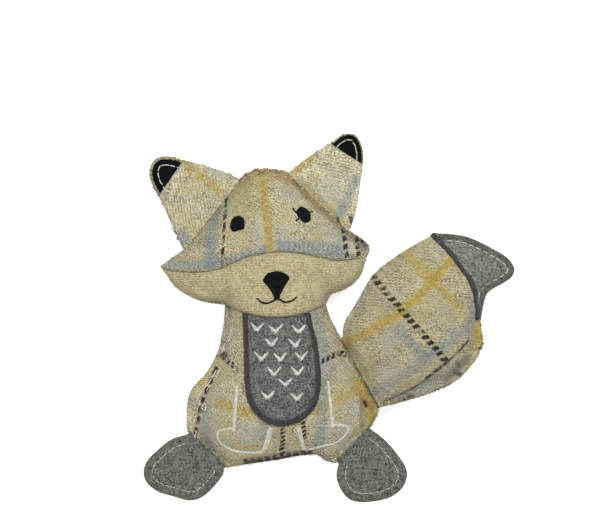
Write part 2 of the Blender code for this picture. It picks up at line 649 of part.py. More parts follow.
def flap_loop(hinge, stretches):
    """The closed outline of a flap, with its root rolled past the hinge line."""
    half = hinge.span / 2 - 2 * CLEARANCE
    root = -hinge.radius * ROOT_END_SHARE
    points = [np.vstack(((-half, ROOT_NECK), stretches[0]))] + stretches[1:]
    points[-1] = np.vstack((points[-1], (half, ROOT_NECK)))
    curves = [smooth_curve(stretch, FLAP_EDGE_STEP) for stretch in points]
    edge = divided(np.array(((half, root), (-half, root))), EDGE_STEP)
    sides = [curve[:-1] for curve in curves]
    return hinge.place(np.vstack([((-half, 0),)] + sides + [((half, ROOT_NECK), (half, 0)), edge]))


def root_rows(hinge):
    """Lines along the root on which its roundness is drawn."""
    half = hinge.span / 2 - 2 * CLEARANCE
    rows = []
    for share in ROOT_ROW_SHARES:
        row = np.array(((-half, -share * hinge.radius), (half, -share * hinge.radius)))
        rows.append(hinge.place(divided(row, EDGE_STEP)))
    return rows


def split_lines(hinge, shares, size, distances):
    """Lines beside a seam that crosses a flap."""
    seam = smooth_curve(scaled(shares, size), EDGE_STEP)
    return seam, [hinge.place(beside(seam, distance)) for distance in distances]


def past(hinge, sheet, seam, distance, side):
    """Triangles of a flap on the outer side, 1, or the root side, -1, of a seam."""
    middle = sheet.centroids() - hinge.middle
    along = middle @ hinge.along
    out = middle @ hinge.out
    edge = beside(seam, distance)
    return (out - np.interp(along, edge[:, 0], edge[:, 1])) * side > 0


def build_ear(side, hinge, shares, tip_shares, length, toy):
    """An ear: a tweed front with a black felt tip, and a tweed back."""
    parent = add_hinge(hinge, toy)
    size = (hinge.span, length)
    loop = flap_loop(hinge, [scaled(shares, size)])
    ring = inset(loop, np.full(len(loop), EAR_FLANGE), EDGE_STEP)
    gap = CLEARANCE / 2
    seam, cuts = split_lines(hinge, tip_shares, size, (gap, -gap))
    sheet = triangulate(loop, [closed(ring)] + cuts + root_rows(hinge), FLAP_STEP)
    shape = swell_shape(sheet, ring)
    rise = hinge.layer_rise(sheet.xy)
    swell = EAR_SWELL * shape / shape.max()
    front_low = SEAM_HEIGHT + gap + swell
    front_high = SEAM_HEIGHT + rise + swell
    front = sheet.piece(past(hinge, sheet, seam, -gap, -1))
    tip = sheet.piece(past(hinge, sheet, seam, gap, 1))
    add_layer(f"{side}_ear_front", front, front_low, front_high, "tweed", parent)
    add_layer(f"{side}_ear_tip", tip, front_low, front_high, "black_felt", parent)
    back_low = SEAM_HEIGHT - rise - swell
    back_high = SEAM_HEIGHT - gap - swell
    add_layer(f"{side}_ear_back", sheet, back_low, back_high, "tweed", parent)


def build_foot(side, hinge, shares, toy):
    """A flat foot of two felt layers."""
    parent = add_hinge(hinge, toy)
    loop = flap_loop(hinge, [scaled(shares, FOOT_SIZE)])
    sheet = triangulate(loop, root_rows(hinge), FLAP_STEP)
    rise = hinge.layer_rise(sheet.xy)
    gap = np.full(len(sheet.xy), CLEARANCE / 2)
    add_layer(f"{side}_foot_front", sheet, SEAM_HEIGHT + gap, SEAM_HEIGHT + rise, "grey_felt", parent)
    add_layer(f"{side}_foot_back", sheet, SEAM_HEIGHT - rise, SEAM_HEIGHT - gap, "grey_felt", parent)


def build_tail(hinge, toy):
    """The stuffed tail: plaid panels, a dark band and felt tips."""
    parent = add_hinge(hinge, toy)
    loop = flap_loop(hinge, [scaled(TAIL_UPPER_SHARES, TAIL_SIZE), scaled(TAIL_LOWER_SHARES, TAIL_SIZE)])
    flange = np.full(len(loop), FLANGE)
    ring = inset(loop, flange, EDGE_STEP)
    stuffing_ring = inset(loop, flange + STUFFING_INSET, EDGE_STEP)
    half = TAIL_BAND_WIDTH / 2
    sides = (-half - CLEARANCE, -half, half, half + CLEARANCE)
    seam, cuts = split_lines(hinge, TAIL_BAND_SHARES, TAIL_SIZE, sides)
    lines = [closed(ring), closed(stuffing_ring)] + cuts + root_rows(hinge)
    sheet = triangulate(loop, lines, SHEET_STEP)
    shape = swell_shape(sheet, ring)
    share = shape / shape.max()
    rise = hinge.layer_rise(sheet.xy)
    front_low = SEAM_HEIGHT + CLEARANCE / 2 + share * (TAIL_THICKNESS - SEAM_HEIGHT - hinge.radius)
    front_high = front_low + rise - CLEARANCE / 2
    back = SEAM_HEIGHT - rise - share * (SEAM_HEIGHT - hinge.radius + REST_CUT)
    back_low = np.maximum(back, 0)
    back_high = back_low + rise - CLEARANCE / 2
    plaid = sheet.piece(past(hinge, sheet, seam, sides[0], -1))
    band = sheet.piece(past(hinge, sheet, seam, sides[1], 1) & past(hinge, sheet, seam, sides[2], -1))
    tip = sheet.piece(past(hinge, sheet, seam, sides[3], 1))
    add_layer("tail_front_panel", plaid, front_low, front_high, "tweed", parent)
    add_layer("tail_band", band, front_low, front_high, "dark_satin", parent)
    add_layer("tail_tip_front", tip, front_low, front_high, "grey_felt", parent)
    back_plaid = sheet.piece(past(hinge, sheet, seam, sides[1], -1))
    back_tip = sheet.piece(past(hinge, sheet, seam, sides[2], 1))
    add_layer("tail_back_panel", back_plaid, back_low, back_high, "tweed", parent)
    add_layer("tail_tip_back", back_tip, back_low, back_high, "grey_felt", parent)
    stuffing = sheet.piece(is_inside(stuffing_ring, sheet.centroids()))
    add_layer("tail_stuffing", stuffing, back_high + CLEARANCE, front_low - CLEARANCE, "stuffing", parent)


def spun(profile, steps):
    """A closed turned shape from a profile of radius and height, from axis to axis."""
    bm = bmesh.new()
    points = [bm.verts.new((radius, 0, height)) for radius, height in profile]
    edges = [bm.edges.new(pair) for pair in zip(points, points[1:])]
    bmesh.ops.spin(bm, geom=points + edges, cent=(0, 0, 0), axis=(0, 0, 1), angle=math.tau,
                   steps=steps, use_merge=True)
    bmesh.ops.remove_doubles(bm, verts=bm.verts[:], dist=MERGE_DISTANCE)
    return bm


def build_squeaker(torso, toy):
    """A moulded bulb with a reed plug, in a pocket of the body stuffing."""
    centre = scaled(SQUEAKER_PLACE_SHARES, BODY_SIZE)
    turn = np.arange(SQUEAKER_STEPS) * math.tau / SQUEAKER_STEPS
    rim = centre + SQUEAKER_RADIUS * np.column_stack((np.cos(turn), np.sin(turn)))
    floor = height_on(torso.sheet, torso.back_high, rim).max() + CLEARANCE
    inner = SQUEAKER_RADIUS - SQUEAKER_SHOULDER
    top = SQUEAKER_HEIGHT + SQUEAKER_NECK_HEIGHT
    bore = REED_RADIUS + CLEARANCE
    bottom = top - REED_DEPTH - CLEARANCE
    profile = [(0, 0), (inner, 0), (SQUEAKER_RADIUS, SQUEAKER_SHOULDER),
               (SQUEAKER_RADIUS, SQUEAKER_HEIGHT - 2 * SQUEAKER_SHOULDER),
               (inner, SQUEAKER_HEIGHT - SQUEAKER_SHOULDER),
               (SQUEAKER_NECK_RADIUS, SQUEAKER_HEIGHT), (SQUEAKER_NECK_RADIUS, top),
               (bore, top), (bore, bottom), (0, bottom)]
    move = Matrix.Translation((*centre, floor))
    bulb = spun(profile, SQUEAKER_STEPS)
    bulb.transform(move)
    add_object("squeaker_bulb", bulb, "squeaker_plastic", toy)
    seat = top + CLEARANCE
    reed = spun([(0, seat - REED_DEPTH), (REED_RADIUS, seat - REED_DEPTH), (REED_RADIUS, seat),
                 (REED_FLANGE_RADIUS, seat), (REED_FLANGE_RADIUS, seat + REED_FLANGE_HEIGHT),
                 (0, seat + REED_FLANGE_HEIGHT)], SQUEAKER_STEPS)
    reed.transform(move)
    add_object("squeaker_reed", reed, "reed_plastic", toy)
    reach = floor + seat + REED_FLANGE_HEIGHT + CLEARANCE
    wall = SQUEAKER_RADIUS + CLEARANCE
    pocket = spun([(0, -reach), (wall, -reach), (wall, reach), (0, reach)], SQUEAKER_STEPS)
    pocket.transform(Matrix.Translation((*centre, 0)))
    cutter = add_object("squeaker_pocket_cutter", pocket, "stuffing", toy)
    cutter.hide_render = True
    cutter.display_type = "WIRE"
    cut = torso.stuffing.modifiers.new("squeaker_pocket", "BOOLEAN")
    cut.object = cutter
    cut.operation = "DIFFERENCE"
    cut.solver = "EXACT"


def clear_scene():
    for thing in list(bpy.data.objects):
        bpy.data.objects.remove(thing)


def main():
    clear_scene()
    torso = Torso()
    empty = bpy.data.objects.new("plush_fox", None)
    bpy.context.collection.objects.link(empty)
    toy = {"empty": empty, "to_local": Matrix.Identity(4)}
    torso.build(toy)
    build_patch(torso, toy)
    build_face(torso, toy)
    build_legs(torso, toy)
    build_squeaker(torso, toy)
    build_ear("left", torso.left_ear, LEFT_EAR_SHARES, LEFT_EAR_TIP_SHARES, LEFT_EAR_LENGTH, toy)
    build_ear("right", torso.right_ear, RIGHT_EAR_SHARES, RIGHT_EAR_TIP_SHARES, RIGHT_EAR_LENGTH, toy)
    build_foot("left", torso.left_foot, LEFT_FOOT_SHARES, toy)
    build_foot("right", torso.right_foot, RIGHT_FOOT_SHARES, toy)
    build_tail(torso.tail, toy)
    bpy.context.view_layer.update()
    shown = [thing for thing in bpy.data.objects if thing.type == "MESH" and not thing.hide_render]
    points = np.array([thing.matrix_world @ vert.co for thing in shown for vert in thing.data.vertices])
    x, y, _ = (points.min(axis=0) + points.max(axis=0)) / 2
    empty.location = (-x, -y, 0)


main()
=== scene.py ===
"""Looks of the plush fox: its cloth, felt, embroidery and light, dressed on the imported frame.

The toy lies on its back, so the front faces +Z and the head points to +Y. Outlines are written
in millimetres from the middle of the neck, and flaps in millimetres from the middle of the hinge
that holds their root: along the hinge, then out from it.
"""
import json
import logging
import math
from collections.abc import Callable, Sequence
from dataclasses import asdict, dataclass, field, replace
from enum import Enum

import bmesh
import bpy
import numpy as np
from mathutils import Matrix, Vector
from mathutils.bvhtree import BVHTree
from mathutils.geometry import delaunay_2d_cdt
from numpy.typing import NDArray


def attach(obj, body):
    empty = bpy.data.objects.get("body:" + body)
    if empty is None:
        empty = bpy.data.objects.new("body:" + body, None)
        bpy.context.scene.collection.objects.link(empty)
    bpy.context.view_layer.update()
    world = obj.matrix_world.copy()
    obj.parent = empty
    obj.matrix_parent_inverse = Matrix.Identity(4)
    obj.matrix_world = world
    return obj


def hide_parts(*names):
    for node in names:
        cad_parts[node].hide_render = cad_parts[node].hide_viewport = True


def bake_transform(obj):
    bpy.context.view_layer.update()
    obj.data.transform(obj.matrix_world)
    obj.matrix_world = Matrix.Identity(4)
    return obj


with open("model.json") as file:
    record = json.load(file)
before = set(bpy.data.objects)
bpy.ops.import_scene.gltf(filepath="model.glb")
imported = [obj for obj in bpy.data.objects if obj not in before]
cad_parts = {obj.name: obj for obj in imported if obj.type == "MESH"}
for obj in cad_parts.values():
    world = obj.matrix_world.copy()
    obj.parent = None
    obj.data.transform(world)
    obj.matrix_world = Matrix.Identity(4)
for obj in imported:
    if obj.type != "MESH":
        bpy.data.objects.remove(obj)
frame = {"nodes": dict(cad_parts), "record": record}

LOG = logging.getLogger("plush_fox")
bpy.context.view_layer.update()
MM = 0.001
PLACE = np.array((-0.02213, 0.00548))
SEAM_HEIGHT = 0.0165
SATIN_PITCH = 0.00026

Thing = bpy.types.Object
Material = bpy.types.Material
Points = NDArray[np.float64]
Faces = NDArray[np.int64]
Mask = NDArray[np.bool_]
Pairs = Sequence[tuple[float, float]]


class Panel(Enum):
    """Which side of a bag a panel of cloth is sewn on."""

    FRONT = 1
    BACK = -1


def pattern(points: Pairs) -> Points:
    """Places in the frame, in metres, of points in millimetres from the middle of the neck."""
    return PLACE + np.array(points, float) * MM


def divided(points: Points, step: float) -> Points:
    """Divide an open line, and any values that it carries, evenly.

    Args:
        points: Rows of x, y and further values.
        step: About how long each part becomes.

    Returns:
        The rows at the new points.
    """
    lengths = np.linalg.norm(np.diff(points[:, :2], axis=0), axis=1)
    reach = np.concatenate(([0], np.cumsum(lengths)))
    count = max(1, round(reach[-1] / step))
    at = np.linspace(0, reach[-1], count + 1)
    return np.column_stack([np.interp(at, reach, column) for column in points.T])


def smooth_curve(points: Points, step: float) -> Points:
    """Draw a curve through points.

    Args:
        points: The points that the curve passes through.
        step: About how long each part of it is.

    Returns:
        Evenly spaced points on the curve.
    """
    points = np.asarray(points, float)
    padded = np.vstack((2 * points[0] - points[1], points, 2 * points[-1] - points[-2]))
    t = np.arange(12)[:, None] / 12
    dense = []
    for a, b, c, d in zip(padded, padded[1:], padded[2:], padded[3:]):
        bend = (2 * a - 5 * b + 4 * c - d) * t ** 2 + (3 * b - a - 3 * c + d) * t ** 3
        dense.append((2 * b + (c - a) * t + bend) / 2)
    dense.append(points[-1:])
    return divided(np.vstack(dense), step)


def ring(loop: Points) -> Points:
    """The loop with its first point again at its end."""
    return np.vstack((loop, loop[:1]))


def left_of(run: Points) -> Points:
    """The unit vector to the left of each way."""
    return unit(np.column_stack((-run[:, 1], run[:, 0])))


def beside(line: Points, distance: float) -> Points:
    """An open line moved sideways to its left."""
    return line + left_of(np.gradient(line, axis=0)) * distance


def cross(a: Points, b: Points) -> Points:
    """Twice the area between each two flat vectors, positive where the second one turns left."""
    return a[:, 0] * b[:, 1] - a[:, 1] * b[:, 0]


def is_inside(loop: Points, points: Points) -> Mask:
    """Which points lie inside a closed loop.

    Args:
        loop: The corners of the loop.
        points: The points to test.

    Returns:
        One truth value for each point.
    """
    found = np.zeros(len(points), bool)
    for (ax, ay), (bx, by) in zip(loop, np.roll(loop, -1, axis=0)):
        if ay == by:
            continue
        crosses = (ay > points[:, 1]) != (by > points[:, 1])
        found ^= crosses & (points[:, 0] < (bx - ax) * (points[:, 1] - ay) / (by - ay) + ax)
    return found


def nearest(line: Points, points: Points) -> tuple[Points, Points]:
    """Find the place on an open line that is nearest to each point.

    Args:
        line: The points of the line.
        points: The points to measure from.

    Returns:
        The distance to that place, and how far along the line it is, from 0 to 1.
    """
    best = np.full(len(points), np.inf)
    share = np.zeros(len(points))
    count = len(line) - 1
    for index, (a, b) in enumerate(zip(line, line[1:])):
        run = b - a
        t = np.clip((points - a) @ run / (run @ run), 0, 1)
        gap = points - a - t[:, None] * run
        square = np.einsum("ij,ij->i", gap, gap)
        closer = square < best
        best[closer] = square[closer]
        share[closer] = (index + t[closer]) / count
    return np.sqrt(best), share


def distance_to(line: Points, points: Points) -> Points:
    """The distance from each point to an open line."""
    return nearest(line, points)[0]


def depth_inside(loop: Points, points: Points) -> Points:
    """How far each point lies inside a closed loop, negative where it lies outside."""
    return distance_to(ring(loop), points) * np.where(is_inside(loop, points), 1, -1)


def length_of(line: Points) -> float:
    """The length of an open line."""
    return float(np.linalg.norm(np.diff(line, axis=0), axis=1).sum())


def unit(vectors: Points) -> Points:
    """The vectors with a length of 1."""
    return vectors / np.linalg.norm(vectors, axis=1)[:, None]


def eased(values: Points) -> Points:
    """Values cut to 0 and 1, with a smooth run between them."""
    t = np.clip(values, 0, 1)
    return t * t * (3 - 2 * t)


def ripple(xy: Points, wavelength: float, seed: int) -> Points:
    """Smooth waves of about -1 to 1 over the cloth.

    Args:
        xy: The points of the cloth.
        wavelength: About how far one crest is from the next.
        seed: Picks the waves.

    Returns:
        The wave at each point.
    """
    total = np.zeros(len(xy))
    draws = np.random.default_rng(seed).uniform((0, 0, 0.75), (math.tau, math.tau, 1.35), (6, 3))
    for turn, phase, stretch in draws:
        way = np.array((math.cos(turn), math.sin(turn)))
        total += np.sin(xy @ way * math.tau / (wavelength * stretch) + phase)
    return total / 2.6


def puckers(held: Points, xy: Points, period: float, depth: float, reach: float) -> Points:
    """Small folds that run in from a sewn seam.

    Args:
        held: The ring of the seam.
        xy: The points of the cloth.
        period: How far one fold is from the next.
        depth: How deep they are.
        reach: How far they run in.

    Returns:
        The change of height at each point.
    """
    line = ring(held)
    gap, share = nearest(line, xy)
    run = share * length_of(line) * math.tau / period
    fade = np.exp(-gap / reach) * (1 - np.exp(-gap / 0.0008)) * is_inside(held, xy)
    return -depth * fade * (0.5 + 0.5 * np.sin(run + 1.8 * np.sin(run / 3.7)))


@dataclass(frozen=True)
class Fold:
    """A crease in stuffed cloth, or a roll where its depth is negative.

    Attributes:
        points: The line of the crease, in millimetres.
        width: How wide it is, in metres.
        depth: How deep it is, in metres.
    """

    points: Pairs
    width: float
    depth: float

    def change(self, xy: Points, place: Callable[[Pairs], Points] = pattern) -> Points:
        """Work out the change of height that the fold makes.

        Args:
            xy: The points of the cloth.
            place: Turns its millimetres into places in the frame.

        Returns:
            The change at each point.
        """
        line = smooth_curve(place(self.points), 0.001)
        gap, share = nearest(line, xy)
        return -self.depth * np.sin(math.pi * share) ** 0.6 * np.exp(-(gap / self.width) ** 2)


def inset(loop: Points, widths: Points, step: float) -> Points:
    """Draw a closed loop in, without letting it cross itself.

    Args:
        loop: The points of the loop.
        widths: How far it is drawn in at each point.
        step: The spacing of the new points.

    Returns:
        The points of the new loop.
    """
    spacing, passes, tolerance = 0.0006, 30, 0.95
    dense = divided(np.column_stack((ring(loop), np.append(widths, widths[0]))), spacing)[:-1]
    width = dense[:, 2]
    for _ in range(passes):
        width = (np.roll(width, 1) + 2 * width + np.roll(width, -1)) / 4
    dense = dense[:, :2]
    after = np.roll(dense, -1, axis=0)
    normal = left_of(after - np.roll(dense, 1, axis=0))
    moved = dense + normal * width[:, None] * math.copysign(1, cross(dense, after).sum())
    gaps = np.linalg.norm(moved[:, None] - dense[None], axis=2)
    clear = (gaps > width * tolerance).all(axis=1)
    kept = moved[clear & is_inside(dense, moved)]
    return divided(ring(kept), step)[:-1]


@dataclass
class Sheet:
    """A triangulated flat pattern piece.

    Attributes:
        xy: Its points in the seam plane.
        triangles: Its triangles, as rows of three point numbers, turning left.
    """

    xy: Points
    triangles: Faces

    @classmethod
    def cut(cls, loop: Points, lines: Sequence[Points], step: float) -> "Sheet":
        """Triangulate the inside of a loop so that the triangles follow every given line.

        Args:
            loop: The outline.
            lines: Seams and rings that the triangles follow.
            step: The size of the triangles.

        Returns:
            The sheet.
        """
        low, high = loop.min(axis=0), loop.max(axis=0)
        row = step * math.sqrt(3) / 2
        columns = np.arange(math.floor(low[0] / step) - 1, math.ceil(high[0] / step) + 1)
        rows = np.arange(math.floor(low[1] / row), math.ceil(high[1] / row) + 1)
        x, y = np.meshgrid(columns * step, rows * row)
        x = x + (rows % 2)[:, None] * step / 2
        grid = np.column_stack((x.ravel(), y.ravel()))
        grid = grid[is_inside(loop, grid)]
        clearance, least_area = 0.55 * step, 1e-14
        for line in [ring(loop), *lines]:
            grid = grid[distance_to(line, grid) > clearance]
        points = list(loop)
        edges = [(i, (i + 1) % len(loop)) for i in range(len(loop))]
        for line in lines:
            start = len(points)
            is_ring = bool(np.allclose(line[0], line[-1]))
            points.extend(line[:-1] if is_ring else line)
            count = len(points) - start
            edges.extend((start + i, start + (i + 1) % count) for i in range(count - (not is_ring)))
        points.extend(grid)
        flat = [Vector(point / step) for point in points]
        result = delaunay_2d_cdt(flat, edges, [], 0, 0.00001)
        xy = np.array([tuple(point) for point in result[0]]) * step
        whole = cls(xy, np.array(result[2]))
        kept = (np.abs(whole.twice_areas()) > least_area) & is_inside(loop, whole.centroids())
        return cls(xy, whole.triangles[kept])

    def everything(self) -> Mask:
        """All of its triangles."""
        return np.ones(len(self.triangles), bool)

    def centroids(self) -> Points:
        """The middle of each triangle."""
        return self.xy[self.triangles].mean(axis=1)

    def twice_areas(self) -> Points:
        """Twice the area of each triangle, positive where its corners turn left."""
        p = self.xy[self.triangles]
        return cross(p[:, 1] - p[:, 0], p[:, 2] - p[:, 0])

    def edge_pairs(self, chosen: Faces) -> Faces:
        """The directed edges that only one of the chosen triangles has.

        Args:
            chosen: Some of its triangles.

        Returns:
            The numbers of the two points of each edge.
        """
        pairs = np.vstack([chosen[:, [i, (i + 1) % 3]] for i in range(3)])
        keys = pairs.min(axis=1) * (len(self.xy) + 1) + pairs.max(axis=1)
        _, first, counts = np.unique(keys, return_index=True, return_counts=True)
        return pairs[first[counts == 1]]

    def swell(self, held: Points) -> Points:
        """How high a pressed sheet stands inside a ring that holds it down.

        Args:
            held: The ring.

        Returns:
            A height for each point, in the lengths of the sheet.
        """
        p = self.xy[self.triangles]
        side = np.stack((p[:, 2] - p[:, 1], p[:, 0] - p[:, 2], p[:, 1] - p[:, 0]), axis=1)
        twice = np.abs(cross(side[:, 0], side[:, 1]))
        local = np.einsum("tik,tjk->tij", side, side) / (2 * twice)[:, None, None]
        rows = np.repeat(self.triangles, 3, axis=1).ravel()
        columns = np.tile(self.triangles, (1, 3)).ravel()
        weights = local.reshape(-1)
        count = len(self.xy)
        load = np.bincount(self.triangles.ravel(), np.repeat(twice / 6, 3), minlength=count)
        on_ring, most_steps, settled = 0.00015, 900, 1e-24
        free = depth_inside(held, self.xy) > on_ring
        scale = np.bincount(rows[rows == columns], weights[rows == columns], minlength=count)
        scale[scale == 0] = 1

        def spread(values: Points) -> Points:
            """The pull of the sheet on every free point."""
            pull = np.bincount(rows, weights * values[columns], minlength=count)
            return np.where(free, pull, 0)

        height = np.zeros(count)
        rest = np.where(free, load, 0)
        way = rest / scale
        size = rest @ way
        for _ in range(most_steps):
            pull = spread(way)
            share = size / (way @ pull)
            height += share * way
            rest -= share * pull
            eased_rest = rest / scale
            fresh = rest @ eased_rest
            if fresh < settled:
                break
            way = eased_rest + way * fresh / size
            size = fresh
        return np.sqrt(np.maximum(height, 0))


def add_object(name: str, data: bpy.types.ID) -> Thing:
    """Put an object into the scene.

    Args:
        name: The name of the object.
        data: Its mesh, curve, lamp or lens.

    Returns:
        The object, at the origin.
    """
    thing = bpy.data.objects.new(name, data)
    bpy.context.collection.objects.link(thing)
    return thing


def places_of(mesh: bpy.types.Mesh) -> Points:
    """Read the points of a mesh.

    Args:
        mesh: The mesh.

    Returns:
        The place of each point.
    """
    flat = np.empty(len(mesh.vertices) * 3)
    mesh.vertices.foreach_get("co", flat)
    return flat.reshape(-1, 3)


def store(mesh: bpy.types.Mesh, name: str, values: Points) -> None:
    """Keep a number or a vector at each point of a mesh, for its tree or its finish to read."""
    kind, key = ("FLOAT", "value") if values.ndim == 1 else ("FLOAT_VECTOR", "vector")
    mesh.attributes.new(name, kind, "POINT").data.foreach_set(key, values.ravel())


def make_object(name: str, vertices: Points, faces: Sequence[Sequence[int]]) -> Thing:
    """Make a smooth mesh object that remembers the rest place of each of its points.

    Args:
        name: The name of the piece.
        vertices: Its points.
        faces: Its faces.

    Returns:
        The object, at the origin.
    """
    mesh = bpy.data.meshes.new(name)
    mesh.from_pydata(vertices.tolist(), [], faces)
    mesh.update()
    mesh.shade_smooth()
    store(mesh, "rest_place", places_of(mesh))
    return add_object(name, mesh)


def plain_piece(name: str, host: Thing) -> Thing:
    """Turn what a curve or a tree makes into a plain mesh, and remove its host.

    Args:
        name: The name of the piece.
        host: The object with the curve or the modifier.

    Returns:
        The finished piece.
    """
    graph = bpy.context.evaluated_depsgraph_get()
    mesh = bpy.data.meshes.new_from_object(host.evaluated_get(graph), depsgraph=graph)
    bpy.data.objects.remove(host)
    mesh.name = name
    mesh.shade_smooth()
    point_outwards(mesh)
    store(mesh, "rest_place", places_of(mesh))
    return add_object(name, mesh)


def point_outwards(mesh: bpy.types.Mesh) -> None:
    """Turn the faces of closed shapes over where they point inwards.

    Args:
        mesh: The mesh.
    """
    work = bmesh.new()
    work.from_mesh(mesh)
    if work.calc_volume(signed=True) < 0:
        bmesh.ops.reverse_faces(work, faces=work.faces)
        work.to_mesh(mesh)
    work.free()


def unbroken(line: Points, kept: Mask) -> list[Points]:
    """The stretches of a closed line whose points are kept, without those of three points or less.

    Args:
        line: The closed line.
        kept: Which of its points are kept.

    Returns:
        The stretches, as open lines.
    """
    if kept.all():
        return [ring(line)]
    start = int(np.flatnonzero(~kept)[0])
    line, kept = np.roll(line, -start, axis=0), np.roll(kept, -start)
    edges = np.flatnonzero(np.diff(np.concatenate(([0], kept.astype(int), [0]))))
    return [line[a:b] for a, b in zip(edges[::2], edges[1::2]) if b - a > 3]


def shell(name: str, sheet: Sheet, chosen: Mask, outer: Points, inner: Points,
          side: Panel) -> Thing:
    """Make a closed layer of cloth from the chosen triangles of a sheet.

    Args:
        name: The name of the piece.
        sheet: The flat sheet.
        chosen: Which of its triangles the layer has.
        outer: The place of each point on the outer face.
        inner: The place of each point on the inner face.
        side: Which way the outer face looks.

    Returns:
        The object.
    """
    triangles = sheet.triangles[chosen]
    rim = sheet.edge_pairs(triangles)
    used = np.unique(triangles)
    renumbered = np.zeros(len(sheet.xy), int)
    renumbered[used] = np.arange(len(used))
    top = renumbered[triangles]
    edge = renumbered[rim]
    count = len(used)
    wall = np.column_stack((edge[:, 1], edge[:, 0], edge[:, 0] + count, edge[:, 1] + count))
    faces = top.tolist() + (top[:, ::-1] + count).tolist() + wall.tolist()
    if side is Panel.BACK:
        faces = [face[::-1] for face in faces]
    return make_object(name, np.vstack((outer[used], inner[used])), faces)


def largest(sheet: Sheet, chosen: Mask) -> Mask:
    """Keep only the largest connected part of the chosen triangles.

    Args:
        sheet: The sheet.
        chosen: Some of its triangles.

    Returns:
        The triangles that are kept.
    """
    numbers = np.flatnonzero(chosen)
    triangles = sheet.triangles[numbers]
    owner = np.arange(len(sheet.xy))
    while True:
        lowest = owner[triangles].min(axis=1)
        before = owner.copy()
        for corner in range(3):
            np.minimum.at(owner, triangles[:, corner], lowest)
        owner = owner[owner]
        if (owner == before).all():
            break
    groups = owner[triangles[:, 0]]
    names, sizes = np.unique(groups, return_counts=True)
    kept = np.zeros(len(chosen), bool)
    kept[numbers[groups == names[sizes.argmax()]]] = True
    return kept


class Signal:
    """A value in a node tree, on which arithmetic adds Math nodes."""

    def __init__(self, nodes: "Nodes", socket: bpy.types.NodeSocket) -> None:
        """Wrap an output socket of a tree."""
        self.nodes = nodes
        self.socket = socket

    def math(self, operation: str, *others: "Signal | float") -> "Signal":
        """Add a Math node that takes this value first."""
        return self.nodes.math(operation, self, *others)

    def __add__(self, other: "Signal | float") -> "Signal":
        """The sum."""
        return self.math("ADD", other)

    __radd__ = __add__

    def __mul__(self, other: "Signal | float") -> "Signal":
        """The product."""
        return self.math("MULTIPLY", other)

    __rmul__ = __mul__

    def __sub__(self, other: "Signal | float") -> "Signal":
        """The difference."""
        return self.math("SUBTRACT", other)

    def __rsub__(self, other: float) -> "Signal":
        """The difference, taken from a number."""
        return self.nodes.math("SUBTRACT", other, self)

    def __truediv__(self, other: "Signal | float") -> "Signal":
        """The quotient."""
        return self.math("DIVIDE", other)

    def __gt__(self, other: "Signal | float") -> "Signal":
        """1 where this is greater than the other, else 0."""
        return self.math("GREATER_THAN", other)

    def __abs__(self) -> "Signal":
        """The size without the sign."""
        return self.math("ABSOLUTE")

    def ramp(self, low: float, high: float) -> "Signal":
        """A smooth run from 0 at low to 1 at high; low may be the greater one."""
        (start, first), (stop, last) = sorted(((low, 0.0), (high, 1.0)))
        return self.nodes.node("ShaderNodeMapRange", {"interpolation_type": "SMOOTHSTEP"}, {
            "Value": self, "From Min": start, "From Max": stop, "To Min": first, "To Max": last})


Colour = tuple[float, float, float]


class Nodes:
    """A node tree that is written as expressions.

    Attributes:
        tree: The tree, of a material or of geometry.
    """

    tree: bpy.types.NodeTree

    def node(self, kind: str, settings: dict[str, object], inputs: dict[str | int, object],
             output: str | int = 0) -> Signal:
        """Add any node.

        Args:
            kind: The node's type.
            settings: Its own properties, set before its sockets.
            inputs: Numbers, colours or signals by the name or number of the socket.
            output: The socket that is used.

        Returns:
            The output.
        """
        node = self.tree.nodes.new(kind)
        for key, value in settings.items():
            setattr(node, key, value)
        for key, value in inputs.items():
            if isinstance(value, Signal):
                self.tree.links.new(value.socket, node.inputs[key])
            else:
                node.inputs[key].default_value = value
        return Signal(self, node.outputs[output])

    def math(self, operation: str, *values: Signal | float) -> Signal:
        """Add a Math node."""
        return self.node("ShaderNodeMath", {"operation": operation}, dict(enumerate(values)))


